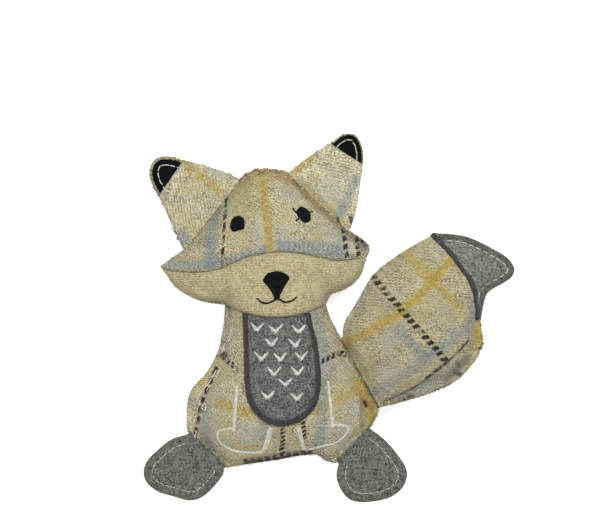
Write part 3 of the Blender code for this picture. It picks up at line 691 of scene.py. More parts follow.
class Growth(Nodes):
    """A geometry tree that sets one small shape along every path of its mesh."""

    def __init__(self, name: str, sizes: Sequence[str]) -> None:
        """Make a tree with its inputs.

        Args:
            name: The name of the tree.
            sizes: The names of its numbers.
        """
        self.tree = bpy.data.node_groups.new(name, "GeometryNodeTree")
        face = self.tree.interface
        face.new_socket("Geometry", in_out="INPUT", socket_type="NodeSocketGeometry")
        face.new_socket("Geometry", in_out="OUTPUT", socket_type="NodeSocketGeometry")
        for size in sizes:
            face.new_socket(size, in_out="INPUT", socket_type="NodeSocketFloat")
        face.new_socket("Material", in_out="INPUT", socket_type="NodeSocketMaterial")
        self.group = self.tree.nodes.new("NodeGroupInput")

    def given(self, name: str) -> Signal:
        """One of the tree's inputs."""
        return Signal(self, self.group.outputs[name])

    def vector(self, x: Signal | float, y: Signal | float, z: Signal | float) -> Signal:
        """A vector of three values."""
        return self.node("ShaderNodeCombineXYZ", {}, {"X": x, "Y": y, "Z": z})

    def kept(self, name: str, kind: str = "FLOAT_VECTOR") -> Signal:
        """What the path says at each point under a name."""
        return self.node("GeometryNodeInputNamedAttribute", {"data_type": kind}, {"Name": name})

    def chance(self, low: Signal | float, high: Signal | float, seed: int) -> Signal:
        """A random number for each point, the same on every run."""
        return self.node("FunctionNodeRandomValue", {"data_type": "FLOAT"},
                         {2: low, 3: high, 8: seed}, 1)

    def shape(self, start: Signal, middle: Signal, end: Signal, steps: int, sides: int,
              taper: float) -> Signal:
        """A bent round thread.

        Args:
            start: Where it starts.
            middle: The point that it bends towards.
            end: Where it ends.
            steps: How many parts it has along its length.
            sides: How many sides it has.
            taper: How much of its thickness is gone at its end.

        Returns:
            The mesh.
        """
        curve = self.node("GeometryNodeCurveQuadraticBezier", {},
                          {"Resolution": steps, "Start": start, "Middle": middle, "End": end})
        circle = self.node("GeometryNodeCurvePrimitiveCircle", {"mode": "RADIUS"},
                           {"Resolution": sides, "Radius": self.given("Thickness") * 0.5})
        share = self.node("GeometryNodeSplineParameter", {}, {}, "Factor")
        return self.node("GeometryNodeCurveToMesh", {}, {
            "Curve": curve, "Profile Curve": circle, "Scale": 1 - share * taper, "Fill Caps": True})

    def finish(self, shape: Signal, jitter: Signal, shift: Signal, scale: Signal) -> None:
        """Set the shape on evenly spaced points of the paths and close the tree.

        Args:
            shape: The mesh that is repeated.
            jitter: How far each one is turned, as three angles.
            shift: How far each one is moved along its own run.
            scale: Its size on its three axes.
        """
        curve = self.node("GeometryNodeMeshToCurve", {}, {"Mesh": self.given("Geometry")})
        points = self.node("GeometryNodeResampleCurve", {"mode": "LENGTH"},
                           {"Curve": curve, "Length": self.given("Pitch")})
        offset = self.node("ShaderNodeVectorMath", {"operation": "SCALE"},
                           {0: self.kept("run"), "Scale": shift})
        points = self.node("GeometryNodeSetPosition", {}, {"Geometry": points, "Offset": offset})
        aim = self.node("FunctionNodeAxesToRotation", {"primary_axis": "Z", "secondary_axis": "X"},
                        {"Primary Axis": self.kept("up"), "Secondary Axis": self.kept("run")})
        turn = self.node("FunctionNodeEulerToRotation", {}, {"Euler": jitter})
        aim = self.node("FunctionNodeRotateRotation", {"rotation_space": "LOCAL"},
                        {"Rotation": aim, "Rotate By": turn})
        copies = self.node("GeometryNodeInstanceOnPoints", {}, {
            "Points": points, "Instance": shape, "Rotation": aim, "Scale": scale})
        smooth = self.node("GeometryNodeSetShadeSmooth", {}, {"Geometry": copies})
        real = self.node("GeometryNodeRealizeInstances", {}, {"Geometry": smooth})
        done = self.node("GeometryNodeSetMaterial", {}, {
            "Geometry": real, "Material": self.given("Material")})
        output = self.tree.nodes.new("NodeGroupOutput")
        self.tree.links.new(done.socket, output.inputs["Geometry"])

    def grow(self, name: str, rows: Sequence["Row"], ground: "Ground", lift: float,
             look: Material, **sizes: float) -> Thing:
        """Run the tree on rows that lie on the cloth.

        Args:
            name: The name of the piece.
            rows: The rows.
            ground: The cloth.
            lift: How far above the cloth the rows lie.
            look: The material.
            sizes: The tree's inputs by name.

        Returns:
            The finished piece as a plain mesh.
        """
        host = self.host(f"{name}_paths", rows, ground, lift)
        modifier = host.modifiers.new("growth", "NODES")
        modifier.node_group = self.tree
        values = {**sizes, "Material": look}
        for socket in self.tree.interface.items_tree:
            if socket.in_out == "INPUT" and socket.name in values:
                modifier[socket.identifier] = values[socket.name]
        return plain_piece(name, host)

    def host(self, name: str, rows: Sequence["Row"], ground: "Ground",
             lift: float) -> Thing:
        """Make the mesh of paths that the tree reads.

        Args:
            name: The name of the object.
            rows: The rows.
            ground: The cloth.
            lift: How far above the cloth the rows lie.

        Returns:
            The object.
        """
        places, ups = zip(*(ground.land(row.xy, lift) for row in rows))
        starts = np.cumsum([0, *map(len, places)])
        edges = [(i, i + 1) for start, stop in zip(starts, starts[1:]) for i in range(start, stop - 1)]
        mesh = bpy.data.meshes.new(name)
        mesh.from_pydata(np.vstack(places).tolist(), edges, [])
        store(mesh, "up", np.vstack(ups))
        store(mesh, "run", np.vstack([np.insert(row.run, 2, 0, axis=1) for row in rows]))
        store(mesh, "reach", np.concatenate([row.reach for row in rows]))
        return add_object(name, mesh)


class StitchTree(Growth):
    """Sets arched threads along a row, each lying as the row says."""

    def __init__(self) -> None:
        """Build the tree."""
        names = ("Pitch", "Length", "Thickness", "Arch", "Turn", "Shift", "Uneven")
        super().__init__("stitches", names)
        _, length, thick, arch, turn, shift, uneven = map(self.given, names)
        sunk = thick * -0.6
        thread = self.shape(self.vector(length * -0.5, 0.0, sunk), self.vector(0.0, 0.0, arch),
                            self.vector(length * 0.5, 0.0, sunk), 6, 5, 0.0)
        yaw = self.chance(turn * -1.0, turn, 3)
        shift = self.chance(shift * -1.0, shift, 5)
        uneven = self.chance(1 - uneven, uneven + 1, 7)
        scale = self.vector(self.kept("reach", "FLOAT") / length * uneven, 1.0, 1.0)
        self.finish(thread, self.vector(0.0, 0.0, yaw), shift, scale)


class FrayTree(Growth):
    """Lets loose fibres stand out of a raw edge."""

    def __init__(self) -> None:
        """Build the tree."""
        super().__init__("fray", ("Pitch", "Length", "Thickness", "Bend", "Turn", "Shift"))
        length, bend, turn = self.given("Length"), self.given("Bend"), self.given("Turn")
        fibre = self.shape(self.vector(0.0, 0.0, 0.0), self.vector(length * 0.5, 0.0, bend),
                           self.vector(length, bend * 0.6, bend * -0.4), 4, 3, 0.6)
        jitter = self.vector(self.chance(-3.1, 3.1, 11), self.chance(turn * -0.6, turn * 0.4, 13),
                             self.chance(turn * -1.0, turn, 17))
        shift = self.chance(self.given("Shift") * -1.0, 0.0, 19)
        size = self.kept("reach", "FLOAT") / length * self.chance(0.35, 1.25, 23)
        self.finish(fibre, jitter, shift, self.vector(size, size, size))


@dataclass
class Ground:
    """The cloth that stitches and trims lie on, as seen from the front.

    Attributes:
        tree: Its faces, for finding the one under a point.
    """

    tree: BVHTree

    @classmethod
    def under(cls, pieces: Sequence[Thing]) -> "Ground":
        """Read the faces of the pieces.

        Args:
            pieces: The pieces.

        Returns:
            The ground.
        """
        places: list[Vector] = []
        faces: list[list[int]] = []
        for piece in pieces:
            start = len(places)
            places.extend(vertex.co.copy() for vertex in piece.data.vertices)
            faces.extend([start + i for i in face.vertices] for face in piece.data.polygons)
        return cls(BVHTree.FromPolygons(places, faces))

    def land(self, xy: Points, lift: float = 0.0) -> tuple[Points, Points]:
        """Lay points on the cloth.

        Args:
            xy: The points.
            lift: How far above the cloth they lie.

        Returns:
            Their places, and the way out of the cloth at each.
        """
        above, beside_edge, flattest = 0.1, SEAM_HEIGHT + 0.0012, 0.4
        places, ways = [], []
        for x, y in xy:
            place, way, _, _ = self.tree.ray_cast((x, y, above), (0, 0, -1))
            if place is None:
                place, way, _, _ = self.tree.find_nearest((x, y, beside_edge))
            places.append(place)
            ways.append(way)
        up = np.array(ways)
        up[:, 2] = np.maximum(up[:, 2], flattest)
        up = unit(up)
        for _ in range(2):
            middle = up.copy()
            middle[1:-1] = up[:-2] + up[1:-1] * 2 + up[2:]
            up = unit(middle)
        return np.array(places) + up * lift, up


@dataclass
class Row:
    """A row of stitches or fibres.

    Attributes:
        xy: The line that it follows.
        run: The way each stitch lies.
        reach: How long each stitch is.
    """

    xy: Points
    run: Points
    reach: Points

    @classmethod
    def across(cls, line: Points, widths: Sequence[float]) -> "Row":
        """Satin stitches across a line.

        Args:
            line: The line.
            widths: How wide they are at even steps along it.

        Returns:
            The row.
        """
        line = divided(line, 0.0003)
        at = np.linspace(0, len(widths) - 1, len(line))
        return cls(line, left_of(np.gradient(line, axis=0)), np.interp(at, range(len(widths)), widths))

    @classmethod
    def along(cls, lines: Sequence[Points], reach: float) -> list["Row"]:
        """Running stitches along lines."""
        lines = [divided(line, 0.0005) for line in lines]
        return [cls(line, unit(np.gradient(line, axis=0)), np.full(len(line), reach)) for line in lines]

    @classmethod
    def outwards(cls, lines: Sequence[Points], reach: float, inside: float = 0.0003) -> list["Row"]:
        """Fibres that stand out of raw edges, in tufts.

        Args:
            lines: The edges, each of which turns left round its panel.
            reach: How long a usual fibre is.
            inside: How far inside the edge the fibres start.

        Returns:
            One row for each edge.
        """
        rows = []
        for line in lines:
            line = divided(line, 0.0005)
            out = -left_of(np.gradient(line, axis=0))
            tufts = 0.6 + 0.8 * np.abs(ripple(line, 0.006, 41))
            rows.append(cls(line - out * inside, out, reach * tufts))
        return rows

    @classmethod
    def filling(cls, points: Pairs, rows: int) -> list["Row"]:
        """Upright satin stitches that fill an outline, in rows that overlap.

        Args:
            points: The corners of the outline, in millimetres.
            rows: How many rows lie over each other.

        Returns:
            The rows.
        """
        outline = smooth_curve(pattern((*points, points[0])), 0.0004)
        xs = np.arange(outline[:, 0].min() + SATIN_PITCH / 2, outline[:, 0].max(), SATIN_PITCH)
        ends = ring(outline)
        a, b = ends[:-1], ends[1:]
        spans = []
        for x in xs:
            hit = (a[:, 0] > x) != (b[:, 0] > x)
            share = (x - a[hit, 0]) / (b[hit, 0] - a[hit, 0])
            ys = a[hit, 1] + share * (b[hit, 1] - a[hit, 1])
            spans.append((ys.min(), ys.max()))
        low, high = np.array(spans).T
        reach = (high - low) / rows * (1.25 if rows > 1 else 1.0)
        run = np.tile((0.0, 1.0), (len(xs), 1))
        middles = [low + (high - low) * (index + 0.5) / rows for index in range(rows)]
        return [cls(np.column_stack((xs, middle)), run, reach) for middle in middles]


class Paint(Nodes):
    """The node tree of one material, with its one shader."""

    def __init__(self, name: str, **constants: float | Colour) -> None:
        """Make an empty material.

        Args:
            name: The name of the material.
            constants: Values that are the same all over, by the shader's socket names.
        """
        self.material = bpy.data.materials.new(name)
        self.material.use_nodes = True
        self.tree = self.material.node_tree
        self.shader = self.tree.nodes["Principled BSDF"]
        for socket, value in constants.items():
            self.shader.inputs[socket.replace("_", " ")].default_value = value
        self._place: Signal | None = None

    def place(self) -> Signal:
        """The rest place of the point that is shaded, read by one node.

        Returns:
            The place.
        """
        if self._place is None:
            self._place = self.node("ShaderNodeAttribute", {"attribute_name": "rest_place"}, {}, "Vector")
        return self._place

    def along(self, direction: Sequence[float], start: Sequence[float] = (0, 0, 0)) -> Signal:
        """How far along a direction the point lies from a start."""
        dot = self.node("ShaderNodeVectorMath", {"operation": "DOT_PRODUCT"},
                        {0: self.place(), 1: tuple(direction)}, "Value")
        return dot - float(np.dot(direction, start))

    def noise(self, scale: float, detail: float = 2.0, rough: float = 0.5,
              stretch: Sequence[float] = (1, 1, 1), turn: float = 0.0) -> Signal:
        """Smooth noise of about 0 to 1 at the point.

        Args:
            scale: How many bumps fit in a metre.
            detail: How many finer layers it has.
            rough: How strong the finer layers are.
            stretch: A factor on each axis.
            turn: How far the pattern is turned about the Z axis, in radians.

        Returns:
            The noise.
        """
        vector = self.place()
        if tuple(stretch) != (1, 1, 1) or turn:
            vector = self.node("ShaderNodeMapping", {}, {
                "Vector": vector, "Scale": tuple(stretch), "Rotation": (0, 0, turn)})
        return self.node("ShaderNodeTexNoise", {"noise_dimensions": "3D"}, {
            "Vector": vector, "Scale": scale, "Detail": detail, "Roughness": rough}, "Fac")

    def mix(self, factor: Signal | float, a: Signal | Colour, b: Signal | Colour) -> Signal:
        """The colour a where the factor is 0 and b where it is 1."""
        a, b = ((*end, 1) if isinstance(end, tuple) else end for end in (a, b))
        return self.node("ShaderNodeMix", {"data_type": "RGBA"}, {0: factor, 6: a, 7: b}, 2)

    def bump(self, height: Signal, distance: float) -> Signal:
        """A Bump node from a height of 0 to 1 and the length that 1 stands for."""
        return self.node("ShaderNodeBump", {}, {"Height": height, "Distance": distance, "Strength": 1.0})

    def feed(self, **links: Signal) -> None:
        """Link signals to the shader's sockets."""
        for socket, value in links.items():
            self.tree.links.new(value.socket, self.shader.inputs[socket.replace("_", " ")])


class Yarn(Enum):
    """The yarns that the cloths are woven from, as linear colours."""

    CREAM = (0.74, 0.68, 0.44)
    BEIGE = (0.42, 0.375, 0.23)
    TAUPE = (0.13, 0.108, 0.060)
    STRAW = (0.48, 0.39, 0.15)
    OCHRE = (0.43, 0.305, 0.050)
    RUST = (0.30, 0.175, 0.045)
    SKY = (0.165, 0.235, 0.28)
    MIST = (0.40, 0.42, 0.36)
    HONEY = (0.46, 0.38, 0.17)
    INK = (0.016, 0.013, 0.011)


CREAM, BEIGE, TAUPE, STRAW, OCHRE, RUST, SKY, MIST, HONEY, INK = Yarn
CLOUDS = ((70, MIST, 0.5), (95, HONEY, 0.4))


@dataclass(frozen=True)
class Stripe:
    """A stripe of the plaid, drawn between two points of a panel, in millimetres.

    Attributes:
        yarn: The yarn that shows.
        start: One end.
        end: The other end.
        width: How wide it is.
        strength: How much of the ground it hides.
        dash: The length of one dash with its gap, or 0 for an unbroken stripe.
        duty: The share of that length that the dash takes.
        slant: How far the dashes lean, as a share of the way across.
        bow: How far its middle stands to the left of the line between its ends.
        soft: How far its edges fade.
        whole: Whether it runs on past its ends.
    """

    yarn: Yarn
    start: tuple[float, float]
    end: tuple[float, float]
    width: float
    strength: float = 0.8
    dash: float = 0.0
    duty: float = 0.6
    slant: float = 0.0
    bow: float = 0.0
    soft: float = 0.5
    whole: bool = False

    def cover(self, paint: Paint, wobble: Signal, grain: Signal) -> Signal:
        """How much of the ground the stripe hides.

        Args:
            paint: The material's tree.
            wobble: How the edges of the stripe wander.
            grain: The noise of the yarn.

        Returns:
            A factor from 0 to 1.
        """
        ink = self.yarn is INK
        start, end = pattern((self.start, self.end))
        length = float(np.linalg.norm(end - start))
        run = (end - start) / length
        across = paint.along((-run[1], run[0], 0), (*start, 0))
        along = paint.along((run[0], run[1], 0), (*start, 0))
        if self.bow:
            share = along / length
            across = across - share * (1 - share) * (4 * self.bow * MM)
        half, soft = self.width / 2 * MM, min(self.soft, 0.3 if ink else self.soft) * MM
        mask = abs(across + wobble).ramp(half + soft, half - soft)
        if not self.whole:
            past = abs(along - length / 2) + wobble
            fade = max(soft, 0.6 * MM)
            mask = mask * past.ramp(length / 2 + fade, length / 2 - fade)
        if self.dash:
            phase = (along + across * self.slant + wobble * (1.4 if ink else 2.4)) / (self.dash * MM)
            gap = (1 - self.duty) / 2
            fade = 0.07 if ink else 0.16
            dashes = phase.math("PINGPONG", 0.5).ramp(gap - fade, gap + fade)
            mask = mask * (dashes if ink else dashes * 0.68 + 0.32)
        if ink:
            worn = paint.noise(330, 2).ramp(0.36, 0.50) * 0.55 + 0.45
            return mask * worn * (grain.ramp(0.38, 0.48) * 0.6 + 0.4) * self.strength
        return mask * (grain.ramp(0.34, 0.56) * 0.6 + 0.4) * self.strength


@dataclass(frozen=True)
class Tweed:
    """Woven wool tweed with the stripes of a plaid.

    Attributes:
        name: The name of the material.
        stripes: The stripes that cross this panel.
        turn: How far the threads are turned from the X axis, in radians.
        light: The lighter yarn of the ground.
        dark: The darker yarn of the ground.
        pitch: How far one thread is from the next.
        slot: The record's slot.
    """

    name: str
    stripes: tuple[Stripe, ...]
    turn: float = 0.0
    light: Colour = CREAM.value
    dark: Colour = TAUPE.value
    pitch: float = 0.00086
    slot: str = "plaid_tweed"

    def make(self) -> Material:
        """Build the material.

        Returns:
            The finished material.
        """
        paint = Paint(self.name, Roughness=0.95, Sheen_Weight=0.12, Sheen_Roughness=0.6,
                      Specular_IOR_Level=0.12)
        over, relief = self.weave(paint)
        warp = paint.noise(1600, 2, 0.6, (1, 0.3, 1), self.turn)
        weft = paint.noise(1600, 2, 0.6, (0.3, 1, 1), self.turn)
        yarn = over * weft + (1 - over) * warp
        fleck = paint.noise(1450, 3, 0.85)
        cloud = paint.noise(150, 3, 0.6)
        grain = fleck * 0.62 + yarn * 0.38
        tone = grain + (cloud - 0.5) * 0.12 + (over - 0.5) * 0.04
        ground = paint.mix(tone.ramp(0.37, 0.60), self.dark, self.light)
        # Painted shade: the gaps between the threads are darkened in the colour, beside the bump that sinks
        # them.
        ground = paint.mix(relief * 0.34, ground, darker(self.dark, 1.1))
        for scale, tint, amount in CLOUDS if self.stripes else ():
            ground = paint.mix(paint.noise(scale, 2).ramp(0.46, 0.68) * amount, ground, tint.value)
        wobble = (paint.noise(420, 2) - 0.5) * 0.0010
        for stripe in sorted(self.stripes, key=lambda item: item.yarn is INK):
            cover = stripe.cover(paint, wobble, grain)
            shades = [darker(stripe.yarn.value, factor) for factor in (0.55, 1.45)]
            ground = paint.mix(cover, ground, paint.mix(grain.ramp(0.36, 0.66), *shades))
        height = (1 - relief) * 0.45 + grain * 0.75
        paint.feed(Base_Color=ground, Normal=paint.bump(height, 0.0003))
        return paint.material

    def weave(self, paint: Paint) -> tuple[Signal, Signal]:
        """Where the weft lies over the warp, and how deep the gaps between the threads are.

        Args:
            paint: The material's tree.

        Returns:
            Both, from 0 to 1.
        """
        turned = [math.radians(angle) + self.turn for angle in (0, 90)]
        x, y = (paint.along((math.cos(a), math.sin(a), 0)) / self.pitch for a in turned)
        over = (x + y).math("MULTIPLY", 0.5).math("FRACT") > 0.5
        gap_x, gap_y = (axis.math("PINGPONG", 0.5).ramp(0.16, 0.02) for axis in (x, y))
        return over, gap_x.math("MAXIMUM", gap_y)


def darker(colour: Colour, factor: float) -> Colour:
    """A colour times a factor."""
    return tuple(min(1.0, channel * factor) for channel in colour)


@dataclass(frozen=True)
class Felt:
    """Pressed felt of mixed fibres.

    Attributes:
        name: The name of the material.
        dark: The colour of its darker fibres.
        light: The colour of its lighter fibres.
        rim: How dark it is along its cut edge, as a factor.
        sheen: The shader's sheen.
        slot: The record's slot.
    """

    name: str
    dark: Colour
    light: Colour
    rim: float = 1.0
    sheen: float = 0.08
    slot: str = "grey_felt"

    def make(self) -> Material:
        """Build the material.

        Returns:
            The finished material.
        """
        paint = Paint(self.name, Roughness=1.0, Sheen_Weight=self.sheen, Sheen_Roughness=0.5,
                      Specular_IOR_Level=0.06)
        fleck = paint.noise(1500, 3, 0.85)
        hair = paint.noise(1000, 3, 0.7, (1, 0.25, 1), 0.6)
        cross_hair = paint.noise(1000, 3, 0.7, (0.25, 1, 1), -0.3)
        cloud = paint.noise(170, 2)
        mixed = fleck * 0.56 + hair * 0.20 + cross_hair * 0.20 + cloud * 0.04
        colour = paint.mix(mixed.ramp(0.41, 0.59), self.dark, self.light)
        if self.rim < 1:
            edge = paint.node("ShaderNodeAttribute", {"attribute_name": "edge"}, {}, "Fac")
            worn = (edge + (hair - 0.5) * 0.0020).ramp(0.0034, 0.0016)
            colour = paint.mix(worn * (1.2 - 1.2 * self.rim), colour, darker(self.dark, self.rim))
        paint.feed(Base_Color=colour, Normal=paint.bump(fleck * 0.7 + hair * 0.5, 0.0004))
        return paint.material


@dataclass(frozen=True)
class Thread:
    """Twisted sewing or embroidery thread.

    Attributes:
        name: The name of the material.
        colour: Its colour.
        gloss: The shader's roughness.
        mottle: How much lighter and darker it is in places.
        shine: The shader's specular level.
        slot: The record's slot.
    """

    name: str
    colour: Colour
    gloss: float
    mottle: float = 0.25
    shine: float = 0.3
    slot: str = "white_thread"

    def make(self) -> Material:
        """Build the material.

        Returns:
            The finished material.
        """
        paint = Paint(self.name, Roughness=self.gloss, Specular_IOR_Level=self.shine)
        cloud = paint.noise(900, 3, 0.7)
        colour = paint.mix(cloud.ramp(0.3, 0.7), darker(self.colour, 1 - self.mottle),
                           darker(self.colour, 1 + self.mottle))
        paint.feed(Base_Color=colour, Normal=paint.bump(paint.noise(5200, 1), 0.00005))
        return paint.material


@dataclass(frozen=True)
class Fibres:
    """Loose fibres of several yarns.

    Attributes:
        name: The name of the material.
        yarns: The yarns, from the most to the least common.
        slot: The record's slot.
    """

    name: str
    yarns: tuple[Yarn, ...]
    slot: str = "plaid_tweed"

    def make(self) -> Material:
        """Build the material.

        Returns:
            The finished material.
        """
        paint = Paint(self.name, Roughness=0.9, Specular_IOR_Level=0.1)
        colour: Signal | Colour = self.yarns[0].value
        for index, yarn in enumerate(self.yarns[1:]):
            patch = paint.noise(520 + 140 * index, 2, 0.6, (1, 1 + 0.1 * index, 1), 0.7 * index)
            colour = paint.mix(patch.ramp(0.50, 0.56), colour, yarn.value)
        paint.feed(Base_Color=colour)
        return paint.material


@dataclass(frozen=True)
class Plastic:
    """Moulded plastic with a faint grain.

    Attributes:
        name: The name of the material.
        colour: Its colour.
    """

    name: str
    colour: Colour

    def make(self) -> Material:
        """Build the material from the noise of the mould.

        Returns:
            The finished material.
        """
        paint = Paint(self.name, Roughness=0.4)
        cloud = paint.node("ShaderNodeTexNoise", {}, {
            "Vector": paint.node("ShaderNodeTexCoord", {}, {}, "Object"), "Scale": 400.0}, "Fac")
        paint.feed(Base_Color=paint.mix(cloud, darker(self.colour, 0.9), darker(self.colour, 1.06)),
                   Normal=paint.bump(cloud, 0.00005))
        return paint.material


class Looks:
    """The finishes of the toy, each built once."""

    def __init__(self, finishes: Sequence[Tweed | Felt | Thread | Fibres]) -> None:
        """Build every material and remember its slot."""
        self.slots = {item.name: item.slot for item in finishes}
        self.materials = {item.name: item.make() for item in finishes}

    def finish(self, piece: Thing, look: str, nodes: Sequence[str] = (),
               body: str | None = None, fill: float | None = None) -> None:
        """Dress a piece and fix it to its body.

        Args:
            piece: The object.
            look: The name of its finish.
            nodes: The nodes of the frame that it stands for.
            body: The body that it rides on, or None where it is left unattached.
            fill: Not used.
        """
        piece.data.materials.clear()
        piece.data.materials.append(self.materials[look])
        if nodes:
            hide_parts(*nodes)
        if body:
            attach(piece, body)
        LOG.info("%s: %d faces", piece.name, len(piece.data.polygons))


TORSO_STRIPES = (
    Stripe(INK, (-22.2, -20.6), (-14.6, -27.6), 2.2, 1.0, 2.5, 0.6, 0.5),
    Stripe(INK, (-22.4, -19.8), (-20.2, -22.2), 3.4, 0.9),
    Stripe(INK, (18.5, -23.6), (26.5, -19.7), 2, 1.0, 2.4, 0.6, -0.6),
    Stripe(INK, (26.0, -19.9), (31.2, -21.0), 2.6, 1.0, 2.2, 0.7, -0.4),
    Stripe(STRAW, (-25.5, -39.5), (-9.8, -45.2), 4.6, 0.6, soft=1.2),
    Stripe(OCHRE, (-25.0, -40.2), (-9.8, -45.0), 3.4, 0.65, 2.2, 0.7, soft=1.4),
    Stripe(OCHRE, (-36.5, -33.0), (-27.5, -31.8), 3.6, 0.65, 2, 0.7, soft=1.2),
    Stripe(STRAW, (15.4, -44.0), (34.5, -34.5), 4.6, 0.6, soft=1.2),
    Stripe(OCHRE, (15.4, -43.6), (34.0, -35.0), 3.4, 0.55, 2.2, 0.7, soft=1.4),
    Stripe(INK, (3.1, -50.2), (2.7, -62.6), 2.1, 1.0, 1.7, 0.66, 0.5),
    Stripe(INK, (11.4, -47.8), (12.2, -55.5), 1.8, 1.0, 1.7, 0.66, 0.5),
    Stripe(TAUPE, (-13.5, -65.6), (15.6, -61.2), 4, 0.60, soft=0.8),
    Stripe(INK, (-13.5, -65.6), (15.6, -61.2), 3.1, 0.9, 3, 0.62, 0.25),
    Stripe(INK, (-13.5, -65.9), (15.6, -61.5), 1.6, 0.8, 4.1, 0.6, -0.5),
    # Painted shade: the two taupe stripes below darken the cloth in the creases beside the neck.
    Stripe(TAUPE, (-20.0, 1.0), (-18.6, -5.6), 1, 0.8, soft=1),
    Stripe(TAUPE, (21.4, 1.0), (20.2, -3.6), 1, 0.7, soft=1),
    Stripe(INK, (-24.2, -25.0), (-30.6, -40.5), 1.6, 1.0, 4.6, 0.72, 0.3),
    Stripe(INK, (-30.8, -41.0), (-34.0, -57.5), 1.5, 1.0, 4.6, 0.72, 0.3),
    Stripe(SKY, (-29.5, -42), (-28.0, -62), 5, 0.5, 2, 0.68, soft=1.5),
    Stripe(SKY, (-4.0, -46.5), (-4.9, -56.5), 3.8, 0.50, 2, 0.68, soft=1.2),
    Stripe(SKY, (17.0, -2.5), (22.0, -30), 4.6, 0.55, 2, 0.68, soft=1.2),
    Stripe(SKY, (21.0, -30), (17.6, -60), 4.6, 0.60, 2, 0.68, soft=1.2),
    Stripe(SKY, (-22.3, -8.0), (-26.0, -22.0), 4, 0.45, 2, 0.68, soft=1.2),
    Stripe(RUST, (26.8, -13.4), (39.0, -35.6), 2.4, 0.8, soft=1.2),
    Stripe(OCHRE, (35.0, -30.0), (41.0, -48.5), 5.2, 0.85, soft=1.6, bow=-0.8),
    Stripe(RUST, (37.6, -33.0), (41.8, -47.5), 3.4, 0.85, 6, 0.7, soft=1.2),
    Stripe(RUST, (41.0, -47.0), (35.4, -58.0), 3, 0.75, soft=1.2),
    # Painted shade: a thin dark line along the root of the tail, where the body's edge overlaps it.
    Stripe(TAUPE, (29.6, -18.2), (43.0, -42.4), 0.8, 0.9),
    Stripe(CREAM, (-38.0, -44), (-35.0, -54), 3, 0.5, soft=1.2),
    Stripe(INK, (36.9, -39.2), (37.7, -42.6), 1.4, 1.0),
    # Painted shade: a taupe line in the crease inside the right hip's flange.
    Stripe(TAUPE, (36.6, -37.5), (37.2, -55.0), 1.3, 0.7, bow=-1.4, soft=1),
    # Painted shade: thin dark lines along the roots of the feet, where the body overlaps them.
    Stripe(TAUPE, (-36.6, -52.4), (-20.6, -67.4), 1, 0.8),
    Stripe(TAUPE, (25.4, -65.4), (39.8, -50.6), 1, 0.8),
)
FOREHEAD_STRIPES = (
    Stripe(STRAW, (-6.4, 57.0), (-1.9, 22.8), 4.2, 0.62, soft=1),
    Stripe(OCHRE, (-6.2, 57.0), (-2.0, 22.8), 2.6, 0.40, soft=0.8),
    Stripe(OCHRE, (-6.2, 57.0), (-2.0, 22.8), 2.6, 0.78, 4, 0.55, soft=0.7),
    Stripe(HONEY, (-17.0, 51.0), (-11.0, 36.0), 13, 0.70, soft=4),
    Stripe(INK, (-20.3, 45.2), (-22.3, 16.2), 1.3, 1.0, 5.2, 0.80, 0.8),
    Stripe(SKY, (-25.6, 42.5), (-27.2, 15.0), 4.8, 0.72, 2, 0.74, soft=1.5),
    Stripe(TAUPE, (-22.6, 42.0), (-24.6, 31.0), 4, 0.30, soft=1.6),
    Stripe(TAUPE, (-17.0, 51.0), (-11.0, 36.0), 13, 0.14, soft=4),
    # Painted shade: the two taupe stripes below darken the forehead in the crease beside the right ear's
    # root.
    Stripe(TAUPE, (6.6, 52.6), (14.5, 43.4), 2, 0.75, soft=1.4),
    Stripe(TAUPE, (14.5, 43.4), (30.0, 29.6), 1.6, 0.60, soft=1.4),
    Stripe(SKY, (-47.0, 16.6), (-3.6, 23.4), 4.4, 0.62, 2, 0.68, bow=-2.6, soft=1.4),
    Stripe(SKY, (0.6, 24.0), (30.0, 21.0), 6, 0.76, 2, 0.74, bow=1, soft=1.6),
    Stripe(INK, (27.6, 36.1), (29.7, 19.0), 1.8, 1.0, 3.4, 0.7, 0.3),
    Stripe(INK, (33.6, 28.6), (34.4, 19.6), 1.8, 1.0, 3, 0.7, 0.3),
    Stripe(SKY, (27.0, 34.0), (27.6, 22.5), 4, 0.45, 2, 0.68, soft=1.4),
    Stripe(SKY, (34.0, 27.0), (39.0, 23.4), 5, 0.55, 2, 0.68, soft=1.6),
    Stripe(RUST, (-15.4, 52.6), (5.6, 55.6), 4.4, 0.60, 10.5, 0.62, bow=1.6, soft=1.6),
    Stripe(RUST, (-15.8, 49.6), (-9.4, 52.4), 3.6, 0.60, soft=2),
    Stripe(STRAW, (-8.8, 52.6), (-2.0, 54.2), 4.2, 0.65, soft=1.8),
    Stripe(RUST, (-0.6, 53.4), (7.0, 51.6), 4, 0.60, soft=2),
    Stripe(RUST, (4.6, 55.6), (31.2, 30.4), 2.6, 0.62, bow=-1.6, soft=1.4),
    Stripe(RUST, (-26.5, 41.0), (-14.6, 52.8), 2, 0.35, soft=1),
    # Painted shade: a thin taupe line along the edge beside the left ear's root, for the shadow under the
    # frayed edge.
    Stripe(TAUPE, (-38.2, 23.2), (-14.9, 52.4), 0.9, 0.85, bow=-0.4),
    Stripe(TAUPE, (29.5, 32.6), (39.5, 24.6), 7.4, 0.45, soft=2),
    Stripe(TAUPE, (30.6, 30.0), (38.6, 24.0), 5, 0.45, 3, 0.6, soft=1.4),
    Stripe(INK, (35.6, 27.6), (37.6, 24.6), 2, 0.9, 2.4, 0.7),
)
